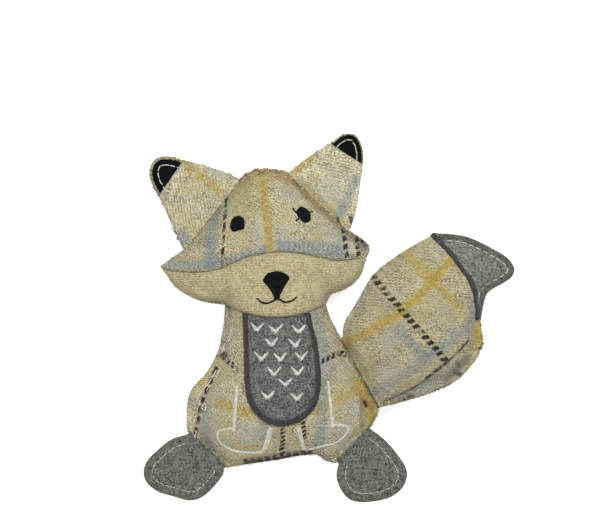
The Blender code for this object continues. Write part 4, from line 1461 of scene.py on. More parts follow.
TAIL_STRIPES = (
    Stripe(STRAW, (29.3, -15.4), (72.8, 19.5), 4.6, 0.62, bow=-4, soft=1.2, whole=True),
    Stripe(OCHRE, (29.3, -15.4), (72.8, 19.5), 3.4, 0.90, 1.3, 0.72, 0.8, bow=-4, soft=1),
    Stripe(STRAW, (52.9, 22.2), (78.4, -4.6), 4.2, 0.6, bow=1, soft=1.2, whole=True),
    Stripe(OCHRE, (54.0, 21.0), (76.0, -1.0), 3.4, 0.72, 2.4, 0.6, -0.6, soft=1),
    Stripe(OCHRE, (62.5, 9.2), (67.5, 13.2), 4.2, 0.75, soft=1.2),
    Stripe(INK, (39.4, 12.6), (71.4, -24.0), 2.8, 1.0, 3, 0.64, -0.4),
    Stripe(SKY, (49.6, -8.3), (60.8, -21.6), 4.4, 0.62, 2, 0.68, soft=1.2),
    Stripe(SKY, (42.7, -35.3), (77.8, -10), 4.2, 0.5, 2, 0.68, bow=-1, soft=1.2, whole=True),
    Stripe(SKY, (43.5, 2.5), (48.0, -3.0), 5, 0.35, 2, 0.68, soft=2),
    Stripe(SKY, (60.0, -23.2), (67.5, -18.0), 3.4, 0.45, soft=1.8),
    Stripe(SKY, (50.0, -39.0), (78.0, -24.5), 4.4, 0.45, bow=-1.2, soft=1.6),
    Stripe(INK, (43.4, -41.0), (56.1, -34.9), 0.7, 0.75),
    Stripe(INK, (56.1, -34.9), (80.1, -14.6), 0.9, 0.9, bow=-1.2),
    Stripe(INK, (62.0, -30.6), (71.4, -22.6), 1.1, 0.85, bow=-0.3),
    Stripe(TAUPE, (44.2, -42.2), (53.0, -38.6), 1.8, 0.6, 3, 0.6),
    Stripe(INK, (54.4, -38.2), (57.6, -37.2), 2, 0.7),
    Stripe(INK, (74.0, -27.4), (77.4, -29.2), 1.8, 0.75),
    Stripe(TAUPE, (74.6, -23.4), (76.8, -25.8), 1.5, 0.85),
    Stripe(INK, (27.2, -14.2), (43.0, -43.0), 1, 0.75),
    Stripe(RUST, (28.2, -13.6), (31.4, -20.4), 3.6, 0.7, soft=1.4),
    Stripe(SKY, (81.8, 2.0), (80.2, -16.0), 4, 0.5, 2, 0.68, soft=1.4),
    Stripe(OCHRE, (84.6, -6.0), (82.4, -19.0), 3.4, 0.75, soft=2),
    Stripe(TAUPE, (80.5, -21.0), (70.0, -32.0), 2.6, 0.7, soft=1.2),
    Stripe(SKY, (36.5, 9.0), (33.5, 1.0), 4.4, 0.5, soft=1.4),
    Stripe(OCHRE, (47.0, 17.0), (60.0, 27.0), 2.2, 0.45, 5, 0.6, soft=1),
)


@dataclass(frozen=True)
class Stretch:
    """A stretch of an outline and the width of the flange beside it.

    Attributes:
        points: Its points, in millimetres.
        flange: Widths of the flange, in millimetres, at even steps along it.
        straight: Whether its points are joined by straight lines.
    """

    points: Pairs
    flange: tuple[float, ...]
    straight: bool = False


@dataclass
class Hinge:
    """A straight root seam about which a flap folds.

    Attributes:
        joint: The name of the joint in the frame.
        span: The length of the seam.
        body: The body that folds.
        middle: The middle of the seam.
        run: The way along the seam.
        out: The way from the seam towards the flap.
    """

    joint: str
    span: float
    body: str = field(init=False)
    middle: Points = field(init=False)
    run: Points = field(init=False)
    out: Points = field(init=False)

    def __post_init__(self) -> None:
        """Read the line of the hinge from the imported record."""
        joints = frame["record"]["behaviour"]["joints"]
        joint = next(item for item in joints if item["name"] == self.joint)
        self.body = joint["child"]
        self.middle = np.array(joint["pos_m"][:2])
        self.run = np.array(joint["axis"][:2])
        self.out = np.array((-self.run[1], self.run[0]))

    @property
    def half(self) -> float:
        """Half the length of the seam, in millimetres."""
        return self.span / 2 / MM

    def place(self, points: Pairs) -> Points:
        """Places in the frame of points in millimetres along and out from the hinge."""
        points = np.array(points, float) * MM
        return self.middle + points[:, :1] * self.run + points[:, 1:] * self.out

    def out_distance(self, xy: Points) -> Points:
        """How far out from the hinge line points lie."""
        return (xy - self.middle) @ self.out

    def bend(self, piece: Thing, reach: float = 0.0022) -> None:
        """Bake the place of a piece into its mesh, without bending its root."""
        ends = [(*(self.middle + self.out * side * reach), SEAM_HEIGHT) for side in (-1, 1)]
        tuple(ends[0])
        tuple(ends[1])
        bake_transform(piece)


HINGES = {name: Hinge(f"{name}_fold", span) for name, span in (
    ("left_ear", 0.03803), ("right_ear", 0.03553), ("left_foot", 0.02183), ("right_foot", 0.02069),
    ("tail", 0.03425))}


def outline_of(stretches: Sequence[Stretch], step: float,
               place: Callable[[Pairs], Points] = pattern) -> tuple[Points, Points]:
    """Join stretches into a closed outline.

    Args:
        stretches: The stretches, each starting where the last one ends.
        step: The spacing of the points.
        place: Turns their millimetres into places in the frame.

    Returns:
        The points of the outline and the width of the flange at each.
    """
    points, widths = [], []
    for stretch in stretches:
        corners = place(stretch.points)
        line = divided(corners, step) if stretch.straight else smooth_curve(corners, step)
        at = np.linspace(0, len(stretch.flange) - 1, len(line))[:-1]
        points.append(line[:-1])
        widths.extend(np.interp(at, range(len(stretch.flange)), stretch.flange))
    return np.vstack(points), np.array(widths) * MM


def edge_round(sheet: Sheet, chosen: Mask, thickness: float) -> Points:
    """How much the outer face of a cut layer falls away at its own edge.

    Args:
        sheet: The sheet.
        chosen: Some of its triangles.
        thickness: The thickness of the layer.

    Returns:
        The fall at each point of the sheet.
    """
    triangles = sheet.triangles[chosen]
    rim = sheet.edge_pairs(triangles)
    used = np.unique(triangles)
    best = np.full(len(used), np.inf)
    xy = sheet.xy[used]
    width, share = 0.0008, 0.45
    for a, b in sheet.xy[rim]:
        near = (np.abs(xy - a) < 0.002).all(axis=1)
        run = b - a
        t = np.clip((xy[near] - a) @ run / (run @ run), 0, 1)
        best[near] = np.minimum(best[near], np.linalg.norm(xy[near] - a - t[:, None] * run, axis=1))
    reach = np.clip(1 - best / width, 0, 1)
    fall = np.zeros(len(sheet.xy))
    fall[used] = (1 - np.sqrt(1 - reach ** 2)) * thickness * share
    return fall


@dataclass(frozen=True)
class Filler:
    """Presses the filling against a bag's cloth, so that it wrinkles as sewn cloth does.

    Attributes:
        spacing: The size of the triangles of the pressed cloth.
        pressure: How hard the filling presses.
        slack: How much of its full height the bag starts with.
        frames: How many steps the cloth moves for.
        cap: How far a point may end from its unpressed place.
        enlarged: How many times larger the cloth is while it moves.
        fade: How far inside the seam the full move is reached.
        sewn: How far inside the seam the cloth is held still.
    """

    spacing: float = 0.0034
    pressure: float = 4.0
    slack: float = 0.90
    frames: int = 20
    cap: float = 0.0016
    enlarged: float = 10.0
    fade: float = 0.003
    sewn: float = 0.0006

    def fill(self, bag: "Bag") -> None:
        """Move the fine cloth of a bag as far as the pressed cloth moves.

        Args:
            bag: The bag, with its smooth front and back.
        """
        loop, held = (divided(ring(line), self.spacing)[:-1] for line in (bag.loop, bag.held))
        sheet = Sheet.cut(loop, [ring(held)], self.spacing)
        moves = self.pressed(sheet, held, bag.surfaces(sheet))
        fade = eased(depth_inside(bag.held, bag.sheet.xy) / self.fade)[:, None]
        front, back = (spread_over(sheet, move, bag.sheet.xy) * fade for move in moves)
        bag.front = bag.front + front
        bag.back = bag.back + back
        bag.back[:, 2] = np.maximum(bag.back[:, 2], 0)

    def pressed(self, sheet: Sheet, held: Points, sides: tuple[Points, Points]) -> list[Points]:
        """Run the cloth and measure how far each point moves on the front and back.

        Args:
            sheet: The rough sheet.
            held: The seam that holds its two sides together.
            sides: The places of its points on the front and on the back.

        Returns:
            The moves on the front and on the back.
        """
        used = np.unique(sheet.triangles)
        full = np.vstack([side[used] for side in sides])
        start = full.copy()
        start[:, 2] = SEAM_HEIGHT + (full[:, 2] - SEAM_HEIGHT) * self.slack
        places = self.parted(sheet, used, start * self.enlarged)
        bag = shell("pressed_bag", sheet, sheet.everything(), *places, Panel.FRONT)
        sewn = depth_inside(held, full[:, :2]) < self.sewn
        group = bag.vertex_groups.new(name="sewn")
        group.add(np.flatnonzero(sewn).tolist(), 1.0, "REPLACE")
        cloth = bag.modifiers.new("filling", "CLOTH")
        cloth.settings.vertex_group_mass = group.name
        cloth.settings.use_pressure = True
        cloth.settings.uniform_pressure_force = self.pressure
        cloth.settings.effector_weights.gravity = 0
        cloth.point_cache.frame_start = 1
        cloth.point_cache.frame_end = self.frames
        for frame_number in range(1, self.frames + 1):
            bpy.context.scene.frame_set(frame_number)
        graph = bpy.context.evaluated_depsgraph_get()
        move = places_of(bag.evaluated_get(graph).data) / self.enlarged - full
        bpy.data.objects.remove(bag)
        bpy.context.scene.frame_set(1)
        size = np.linalg.norm(move, axis=1)
        LOG.info("pressed cloth: %d points, moved %.2f mm at most, %.2f mm on average",
                 len(full), size.max() / MM, size.mean() / MM)
        move *= np.minimum(1, self.cap / np.maximum(size, 1e-9))[:, None]
        return self.parted(sheet, used, move)

    def parted(self, sheet: Sheet, used: Faces, rows: Points) -> list[Points]:
        """The rows of the used points on the front and back, as rows for all points of the sheet.

        Args:
            sheet: The sheet.
            used: The numbers of the used points.
            rows: Their rows on the front, then on the back.

        Returns:
            The two sets of rows.
        """
        parts = []
        for half in np.split(rows, 2):
            parts.append(np.zeros((len(sheet.xy), 3)))
            parts[-1][used] = half
        return parts


def spread_over(sheet: Sheet, values: Points, xy: Points) -> Points:
    """Read values that a rough sheet has at its points, evenly between them.

    Args:
        sheet: The rough sheet.
        values: One row for each of its points.
        xy: Where they are read.

    Returns:
        One row for each place.
    """
    flat = [(x, y, 0.0) for x, y in sheet.xy]
    tree = BVHTree.FromPolygons(flat, sheet.triangles.tolist())
    found = sheet.triangles[[tree.find_nearest((x, y, 0.0))[2] for x, y in xy]]
    a, b, c = (sheet.xy[found[:, i]] for i in range(3))
    u, v, w = b - a, c - a, xy - a
    second, third = cross(w, v) / cross(u, v), cross(u, w) / cross(u, v)
    shares = np.clip(np.column_stack((1 - second - third, second, third)), 0, 1)
    shares /= shares.sum(axis=1)[:, None]
    return np.einsum("ij,ijk->ik", shares, values[found])


class Bag:
    """Layers of cloth that are cut from one flat sheet, with what fills them.

    Attributes:
        layer: The thickness of its cloth or felt.
        thickness: The same, where it differs from point to point.
        gap: How far the front and the back lie from each other at the seam.
        loop: The cut edge.
        held: The seam that holds the two sides together.
        sheet: The flat sheet.
        front: The place of each of its points on the front.
        back: The place of each of its points on the back.
        panels: The finished pieces by name.
    """

    layer: float
    thickness: Points | float
    gap: float
    loop: Points
    held: Points
    sheet: Sheet
    front: Points
    back: Points
    panels: dict[str, Thing]

    def surfaces(self, sheet: Sheet) -> tuple[Points, Points]:
        """The smooth form of the front and back, before its seams and folds.

        Args:
            sheet: Any sheet of the outline.

        Returns:
            The places of its points on the front and on the back.
        """
        raise NotImplementedError

    def panel(self, name: str, chosen: Mask, side: Panel) -> None:
        """Make one closed layer.

        Args:
            name: The name of the piece.
            chosen: Its triangles.
            side: Which side of the bag it is on.
        """
        surface = self.front if side is Panel.FRONT else self.back
        outer, inner = surface.copy(), surface.copy()
        inner[:, 2] -= side.value * self.thickness
        outer[:, 2] -= side.value * edge_round(self.sheet, chosen, self.layer)
        self.panels[name] = shell(name, self.sheet, chosen, outer, inner, side)

    def filling(self, name: str, chosen: Mask) -> None:
        """Make what fills the bag, from the chosen triangles that lie well inside the seam.

        Args:
            name: The name of the piece.
            chosen: Its triangles.
        """
        clearance = 0.002
        deep = depth_inside(self.held, self.sheet.centroids()) > clearance
        top, bottom = self.front.copy(), self.back.copy()
        top[:, 2] -= self.layer + self.gap
        bottom[:, 2] += self.layer + self.gap
        chosen = largest(self.sheet, chosen & deep)
        self.panels[name] = shell(name, self.sheet, chosen, top, bottom, Panel.FRONT)

    def ground(self, *words: str) -> Ground:
        """The cloth of the pieces whose names hold one of the words."""
        return Ground.under([piece for name, piece in self.panels.items()
                             if any(word in name for word in words)])


TORSO_FOLDS = (
    Fold(((-37.0, 9.0), (-30.0, 6.6), (-21.0, 2.1)), 0.0018, 0.0008),
    Fold(((-29.3, 5.2), (-25.0, 2.5), (-20.5, 0.2)), 0.0011, 0.0005),
    Fold(((-22.0, 6.1), (-19.6, 0.5), (-18.0, -6.5)), 0.0017, 0.0026),
    Fold(((23.4, 13.4), (25.0, 9.5), (26.8, 5.2)), 0.0022, 0.0008),
    Fold(((23.6, 6.1), (20.9, 1.0), (19.0, -4.5)), 0.0017, 0.0024),
    Fold(((4.8, 56.4), (7.3, 49.0), (13.1, 43.6), (22.2, 40.2), (25.5, 36.9), (31.3, 30.3)), 0.0019, 0.0030),
    Fold(((5.4, 57.6), (9.5, 52.6), (15.6, 47.4), (24.6, 41.2), (31.0, 33.0)), 0.0014, -0.0010),
    Fold(((-29.0, 41.0), (-24.0, 45.5), (-18.0, 52.0)), 0.0022, 0.0010),
    Fold(((25.5, 36.5), (27.5, 30.0), (31.0, 21.0)), 0.0026, 0.0008),
    Fold(((-23.9, -25.6), (-29.4, -39.8), (-32.4, -55.6)), 0.0017, 0.0016),
    Fold(((-25.2, -21.5), (-20.5, -24.0), (-14.5, -28.0)), 0.0016, 0.0006),
    Fold(((29.5, -17.5), (25.0, -20.5), (19.8, -23.0)), 0.0020, 0.0007),
    Fold(((-16.4, -33.5), (-17.2, -45.6), (-18.4, -50.7), (-23.9, -53.2), (-22.4, -58.1),
          (-10.4, -61.2), (-4.0, -58.5), (-2.2, -52.1)), 0.0014, 0.0005),
    Fold(((21.6, -31.1), (23.6, -44.3), (24.8, -49.0), (30.0, -50.5), (27.6, -56.1),
          (12.8, -59.8), (10.4, -51.7)), 0.0014, 0.0005),
    Fold(((-12.8, -8), (-12.7, -28.7), (-10.4, -43.4), (-3.0, -51.8), (3.8, -52.7), (10.6, -50.7),
          (18.0, -41.6), (19.8, -32), (18.2, -15.5), (16.0, -8)), 0.0016, 0.0005),
    Fold(((-38.0, 33.5), (-33.0, 30.5), (-28.0, 30.5)), 0.0030, 0.0005),
    Fold(((2.0, -53.0), (2.2, -57.5), (1.6, -62.5)), 0.0030, 0.0009),
)


@dataclass
class Torso(Bag):
    """Head and body: one stuffed bag of five panels, drawn in at the neck.

    Attributes:
        head_thickness: From the front of the head to its back.
        body_thickness: From the front of the body to its back.
        step: The size of the triangles.
    """

    head_thickness: float = 0.0335
    body_thickness: float = 0.0370
    layer: float = 0.0010
    gap: float = 0.0003
    step: float = 0.0011
    panels: dict[str, Thing] = field(default_factory=dict)

    def edge(self) -> list[Stretch]:
        """The stretches of the outline, turning left from the left of the neck.

        Returns:
            The stretches in order.
        """
        brow = ((-47.9, 16.1), (-43.5, 19.2), (-38.3, 22.8))
        crown = ((-14.8, 52.7), (-10.5, 55.3), (-5.7, 56.4), (0.0, 56.1), (5.2, 55.3))
        cheek = ((30.9, 30.7), (34.8, 28.2), (37.9, 25.7), (39.2, 22.8), (37.5, 19.2))
        hip = ((43.1, -43.3), (41.9, -46.3), (39.6, -50.7))
        seat = ((25.2, -65.6), (20.8, -64.6), (17.2, -62.2), (10.0, -62.5), (1.2, -64.2),
                (-12.8, -66.2), (-20.4, -67.6))
        left = ((-36.4, -52.7), (-36.8, -47.0), (-36.8, -41.9), (-35.6, -36.5), (-33.2, -32.8),
                (-29.2, -28.7), (-26.0, -23.7), (-23.6, -18.3), (-22.4, -13.2), (-21.6, -8.8), (-21, 0))
        return [
            Stretch(((-21, 0), (-28.7, 1.1), (-34.8, 3.1), (-41.4, 7.3), (-45.3, 12.7), (-47.9, 16.1)),
                    (0.9, 0.9)),
            Stretch(brow, (1.2, 1.5)),
            Stretch(self.root("left_ear"), (0.9, 0.9), True),
            Stretch(crown, (1.6, 2.2, 2.2)),
            Stretch(self.root("right_ear"), (1.6, 1.3), True),
            Stretch(cheek, (1.6, 2.2, 1.6)),
            Stretch(((37.5, 19.2), (36.1, 13.8), (32.7, 9.0), (27.4, 5.9), (23.1, 4.2), (21, 0)),
                    (0.9, 0.9)),
            Stretch(((21, 0), (22.0, -3.0), (24.0, -7.8), (26.8, -13.2)), (1.0, 1.5)),
            Stretch(self.root("tail"), (1.8, 2.1, 3.5, 4.2), True),
            Stretch(hip, (4.2, 3.2)),
            Stretch(self.root("right_foot"), (1.7, 1.7), True),
            Stretch(seat, (1.2, 0.9, 0.9, 1.2)),
            Stretch(self.root("left_foot"), (1.7, 1.7), True),
            Stretch(left, (1.4, 4.9, 5.6, 4.5, 2.8, 1.4, 1.0)),
        ]

    def root(self, name: str) -> Pairs:
        """The edge beside a flap, set back from the hinge line so that the flap can fold.

        Args:
            name: The name of the flap.

        Returns:
            Its points, in millimetres.
        """
        half = HINGES[name].half
        line = ((-half, 0), (-half + 0.3, -0.7), (half - 0.3, -0.7), (half, 0))
        return tuple(map(tuple, (HINGES[name].place(line) - PLACE) / MM))

    def build(self) -> None:
        """Make the five panels and the filling inside them."""
        self.thickness = self.layer
        self.loop, widths = outline_of(self.edge(), self.step)
        self.held = inset(self.loop, widths, self.step)
        self.brow = self.seam(((-47.9, 16.1), (-43.5, 14.1), (-31.8, 13.8), (-23.1, 15.2),
                               (-10.5, 20.3), (3.9, 22.0), (18.3, 20.0), (25.3, 18.6), (37.5, 19.5)))
        self.chin = self.seam(((-21.0, 0.0), (-10.5, -3.8), (0.0, -5.0), (10.5, -3.8), (21.0, 0.0)))
        near = [beside(seam, side * 0.0006) for seam in (self.brow, self.chin) for side in (1, -1)]
        self.sheet = Sheet.cut(self.loop, [ring(self.held), self.brow, self.chin, *near], self.step)
        self.set_places()
        self.add_panels()

    def seam(self, points: Pairs) -> Points:
        """A seam that runs out over the edge of the bag at both of its ends.

        Args:
            points: Its points, in millimetres.

        Returns:
            The line.
        """
        line = smooth_curve(pattern(points), self.step)
        first = line[0] + (line[0] - line[1]) * 3
        last = line[-1] + (line[-1] - line[-2]) * 3
        return divided(np.vstack((first, line, last)), self.step)

    def side_of(self, line: Points, xy: Points) -> Points:
        """The distance above a seam, or below it where negative."""
        level = np.interp(xy[:, 0], line[:, 0], line[:, 1])
        return distance_to(line, xy) * np.sign(xy[:, 1] - level)

    def set_places(self) -> None:
        """Work out where every point of the front and back cloth stands."""
        xy = self.sheet.xy
        self.front, self.back = self.surfaces(self.sheet)
        Filler().fill(self)
        rise = self.front[:, 2] - SEAM_HEIGHT - self.gap / 2 - self.layer
        change = self.relief(xy) * np.clip(rise / 0.002, 0, 1)
        change += puckers(self.held, xy, 0.0042, 0.00040, 0.0028)
        self.front[:, 2] += np.maximum(change, -rise)
        depth = puckers(self.held, xy, 0.0046, 0.00035, 0.0028)
        self.back[:, 2] = np.maximum(self.back[:, 2] - depth, 0)
        wave = self.flutter(xy)
        self.front[:, 2] += wave
        self.back[:, 2] += wave
        self.push()

    def surfaces(self, sheet: Sheet) -> tuple[Points, Points]:
        """The smooth swell of the stuffed bag, before its seams and folds.

        Args:
            sheet: Any sheet of the outline.

        Returns:
            The places on the front and on the back.
        """
        xy = sheet.xy
        y = xy[:, 1] - PLACE[1]
        shape = sheet.swell(self.held)
        in_head = eased(y / 0.0100 / 2 + 0.5)
        share = shape * (in_head / shape[y > 0].max() + (1 - in_head) / shape[y < 0].max())
        thickness = in_head * self.head_thickness + (1 - in_head) * self.body_thickness
        base, spare, pressed = self.gap / 2 + self.layer, 0.0004, 0.0005
        inside = np.clip(share * 4, 0, 1)
        lumps = 1 + inside * (0.022 * ripple(xy, 0.021, 4) + 0.010 * ripple(xy, 0.009, 9))
        front = SEAM_HEIGHT + base + share * (thickness - SEAM_HEIGHT - base - spare) * lumps
        back = np.maximum(SEAM_HEIGHT - base - share * (SEAM_HEIGHT - base + pressed), 0)
        return np.column_stack((xy, front)), np.column_stack((xy, back))

    def flutter(self, xy: Points) -> Points:
        """How far the flat flange waves up and down, away from the roots of the flaps.

        Args:
            xy: The points of the sheet.

        Returns:
            The change of height of each point.
        """
        still, fade, height = 0.0035, 0.004, 0.0011
        clear = np.ones(len(xy))
        for hinge in HINGES.values():
            away = distance_to(hinge.place(((-hinge.half, 0), (hinge.half, 0))), xy)
            clear = np.minimum(clear, eased((away - still) / fade))
        loose = eased(depth_inside(self.held, xy) / -0.0030)
        return loose * clear * height * ripple(xy, 0.011, 21)

    def relief(self, xy: Points) -> Points:
        """How far the front cloth is drawn in at the seams, and where it creases.

        Args:
            xy: The points of the sheet.

        Returns:
            The change of height of each point.
        """
        brow = self.side_of(self.brow, xy)
        chin = self.side_of(self.chin, xy)
        change = -0.0010 * np.exp(-(brow / 0.0008) ** 2)
        change -= 0.0008 * np.exp(-(brow / np.where(brow > 0, 0.0030, 0.0022)) ** 2)
        change += 0.0006 * np.exp(-((brow + 0.0075) / 0.005) ** 2)
        change -= 0.0012 * np.exp(-(chin / 0.0009) ** 2)
        change -= 0.0016 * np.exp(-(chin / np.where(chin > 0, 0.0018, 0.0046)) ** 2)
        change += 0.0007 * np.exp(-((chin - 0.0060) / 0.004) ** 2)
        for fold in TORSO_FOLDS:
            change += fold.change(xy)
        return change

    def push(self) -> None:
        """Let the forehead hang over the brow seam, and the muzzle over the chin seam."""
        xy = self.sheet.xy
        for line, reach, amount in ((self.brow, 0.0013, 0.0009), (self.chin, 0.0016, 0.0011)):
            above = self.side_of(line, xy)
            share = np.where(above > 0, (above / reach) * np.exp(1 - above / reach), 0)
            share *= np.clip((self.front[:, 2] - SEAM_HEIGHT - 0.002) / 0.004, 0, 1)
            self.front[:, 1] -= share * amount

    def add_panels(self) -> None:
        """Cut the bag into its panels along the brow seam and the chin seam."""
        middle = self.sheet.centroids()
        over_brow = self.side_of(self.brow, middle) > 0
        over_chin = self.side_of(self.chin, middle) > 0
        for name, chosen, side in (
            ("forehead", over_brow, Panel.FRONT), ("muzzle", over_chin & ~over_brow, Panel.FRONT),
            ("body_front", ~over_chin, Panel.FRONT), ("head_back", over_chin, Panel.BACK),
            ("body_back", ~over_chin, Panel.BACK)):
            self.panel(f"{name}_cloth", largest(self.sheet, chosen), side)
        self.filling("head_filling", over_chin)
        self.filling("body_filling", ~over_chin)

    def dress(self, looks: Looks) -> None:
        """Give the panels and fillings their finishes and fix them to the torso.

        Args:
            looks: The finishes.
        """
        for piece, look, node in (
            ("forehead_cloth", "forehead_tweed", "forehead_panel"),
            ("muzzle_cloth", "muzzle_twill", "muzzle_panel"),
            ("head_back_cloth", "back_tweed", "head_back_panel"),
            ("body_front_cloth", "body_tweed", "body_front_panel"),
            ("body_back_cloth", "back_tweed", "body_back_panel"),
            ("head_filling", "filling", "head_stuffing"),
            ("body_filling", "filling", "body_stuffing"),
        ):
            looks.finish(self.panels[piece], look, (node,), "torso", 0.8)


@dataclass
class Flap(Bag):
    """Anything that is sewn on by a straight root: an ear, a foot or the tail.

    Attributes:
        name: What it is called.
        edge: Its outline, without the root.
        swell_front: How far its front stands up from the seam plane.
        swell_back: How far its back hangs down from it.
        root_flange: The width of its flange along the root, in millimetres.
        step: The size of the triangles.
        neck: How far out from the hinge its edge starts, in millimetres.
        tongue: How far it reaches in under the torso, in millimetres.
        fringe: How far inside the cut edge the ring of its rim lies.
        stuffed: Whether it holds a filling.
        waves: How far it waves up and down.
        curl: How far its outer end stands up.
        lines: The seams across it.
        folds: Its creases.
    """

    name: str
    edge: tuple[Stretch, ...]
    layer: float
    swell_front: float
    swell_back: float
    root_flange: float
    step: float = 0.0011
    gap: float = 0.0003
    neck: float = 0.9
    tongue: float = 2.6
    fringe: float = 0.0009
    stuffed: bool = False
    waves: float = 0.0004
    curl: float = 0.0
    lines: tuple[Pairs, ...] = ()
    folds: tuple[Fold, ...] = ()
    panels: dict[str, Thing] = field(default_factory=dict)

    def stretches(self) -> list[Stretch]:
        """The whole outline: the given edge, and the tongue that lies under the torso.

        Returns:
            The stretches in order.
        """
        half = self.hinge.half - 0.5
        parts = list(self.edge)
        parts[0] = replace(parts[0], points=((-half, self.neck), *parts[0].points))
        parts[-1] = replace(parts[-1], points=(*parts[-1].points, (half, self.neck)))
        tongue = ((half, self.neck), (half, -self.tongue), (-half, -self.tongue), (-half, self.neck))
        return [*parts, Stretch(tongue, (self.root_flange,) * 2, True)]

    def build(self) -> None:
        """Find the hinge, triangulate the flap and set the places of its front and back."""
        self.hinge = HINGES[self.name]
        self.loop, widths = outline_of(self.stretches(), self.step, self.hinge.place)
        out = self.hinge.out_distance(self.loop)
        widths = np.where(out < 0, np.maximum(widths, -out + self.root_flange * MM), widths)
        self.held = inset(self.loop, widths, self.step)
        self.rim = inset(self.loop, np.full(len(self.loop), self.fringe), self.step)
        self.seams = [self.seam(line) for line in self.lines]
        self.sheet = Sheet.cut(self.loop, [ring(self.held), ring(self.rim), *self.seams], self.step)
        self.front, self.back = self.surfaces(self.sheet)
        self.thickness = self.layer_at(self.sheet.xy)[1]
        if self.stuffed:
            Filler().fill(self)
        self.crease()

    def seam(self, points: Pairs) -> Points:
        """A seam that runs a little past both of its ends."""
        line = self.hinge.place(smooth_curve(np.array(points), 1.0))
        return np.vstack((line[0] * 2 - line[1], line, line[-1] * 2 - line[-2]))

    def crease(self) -> None:
        """Add the puckers, the folds, the waves and the curl."""
        xy, front, back = self.sheet.xy, self.front, self.back
        still, fade, length = 0.003, 0.006, 0.045
        out = self.hinge.out_distance(xy)
        clear = eased((out - still) / fade)
        rise, loose = 1.0, 1.0
        if self.stuffed:
            front[:, 2] += puckers(self.held, xy, 0.0044, 0.00040, 0.0028)
            back[:, 2] = np.maximum(back[:, 2] - puckers(self.held, xy, 0.0046, 0.00035, 0.0028), 0)
            rise = np.clip((front[:, 2] - SEAM_HEIGHT - self.layer) / 0.002, 0, 1)
            loose = eased(depth_inside(self.held, xy) / -0.003)
        for fold in self.folds:
            front[:, 2] += fold.change(xy, self.hinge.place) * clear * rise
        bend = clear * self.waves * ripple(xy, 0.016, 31) * loose
        bend += clear * self.curl * eased(out / length)
        front[:, 2] += bend
        back[:, 2] = np.maximum(back[:, 2] + bend, 0)

    def layer_at(self, xy: Points) -> tuple[Points, Points]:
        """How the layer thins out beside the edge of the torso.

        Args:
            xy: The points of the flap.

        Returns:
            The share of the layer that is left at each point, and its thickness there.
        """
        thinnest, reach = 0.0003, 0.0012
        share = eased((self.hinge.out_distance(xy) + reach) / (2 * reach))
        return share, thinnest + share * (self.layer - thinnest)

    def surfaces(self, sheet: Sheet) -> tuple[Points, Points]:
        """The smooth form of the flap, before its folds.

        Args:
            sheet: Any sheet of the outline.

        Returns:
            The places on the front and on the back.
        """
        xy = sheet.xy
        shape = sheet.swell(self.held)
        share = shape / shape.max()
        left, thickness = self.layer_at(xy)
        base = self.gap / 2 * left + thickness
        uneven = 0.020 * ripple(xy, 0.019, 6) + 0.010 * ripple(xy, 0.009, 8)
        lumps = 1 + np.clip(share * 4, 0, 1) * uneven
        front = SEAM_HEIGHT + base + share * self.swell_front * lumps
        back = np.maximum(SEAM_HEIGHT - base - share * self.swell_back, 0)
        return np.column_stack((xy, front)), np.column_stack((xy, back))

    def beyond(self) -> Mask:
        """Which triangles lie on the outer side of the first seam.

        Returns:
            One truth value for each triangle.
        """
        middle = self.sheet.centroids() - self.hinge.middle
        line = self.seams[0] - self.hinge.middle
        level = np.interp(middle @ self.hinge.run, line @ self.hinge.run, line @ self.hinge.out)
        return middle @ self.hinge.out > level

    def panel(self, name: str, chosen: Mask, side: Panel) -> None:
        """Make one closed layer that stores how far each point lies from the cut edge.

        Args:
            name: The name of the piece.
            chosen: Which triangles it has.
            side: Whether it is sewn on the front or the back.
        """
        super().panel(name, chosen, side)
        mesh = self.panels[name].data
        store(mesh, "edge", distance_to(ring(self.loop), places_of(mesh)[:, :2]))

    def inside_rows(self, distance: float, reach: float, low: float) -> list[Row]:
        """Rows of running stitches beside the cut edge.

        Args:
            distance: How far they lie inside the edge.
            reach: How long each stitch is.
            low: How far out from the hinge the rows start.

        Returns:
            One row for each unbroken part.
        """
        line = inset(self.loop, np.full(len(self.loop), distance), self.step)
        return Row.along(unbroken(line, self.hinge.out_distance(line) > low), reach)

    def dress(self, looks: Looks) -> None:
        """Give the layers their finishes, and bake their places into their meshes.

        Args:
            looks: The finishes.
        """
        for *names, fill in self.FINISHES:
            piece, look, node = (name.format(self.name) for name in names)
            looks.finish(self.panels[piece], look, (node,), None, fill)
            self.hinge.bend(self.panels[piece])


@dataclass
class Ear(Flap):
    """An ear: a tweed front with a black felt tip, and a tweed back."""

    FINISHES = (("{}_front_cloth", "{}_tweed", "{}_front", 0.2),
                ("{}_tip_felt", "black_felt", "{}_tip", 0.2),
                ("{}_back_cloth", "back_tweed", "{}_back", 0.2))

    def make(self) -> None:
        """Build the three layers."""
        self.build()
        tip = self.beyond()
        clear = is_inside(self.rim, self.sheet.centroids())
        self.panel(f"{self.name}_front_cloth", largest(self.sheet, ~tip), Panel.FRONT)
        self.panel(f"{self.name}_tip_felt", largest(self.sheet, tip & clear), Panel.FRONT)
        self.panel(f"{self.name}_back_cloth", self.sheet.everything(), Panel.BACK)

    def trim(self, sewing: "Sewing") -> None:
        """Topstitch the tip and let the edge fray.

        Args:
            sewing: What sews.
        """
        body = self.hinge.body
        rows = self.inside_rows({"left_ear": 0.0037, "right_ear": 0.0027}[self.name], 0.0026, 0.0215)
        sewing.sew(f"{self.name}_topstitch", self.ground("front", "tip_felt"), rows,
                   replace(RUNNING, pitch=0.0027, length=0.0026, arch=0.0006), "white_thread", body=body)
        edge = unbroken(self.loop, self.hinge.out_distance(self.loop) > 0.003)
        sewing.fray(f"{self.name}_fray", self.ground("back"), Row.outwards(edge, 0.0014, 0.0006),
                    "light_fibres", body)


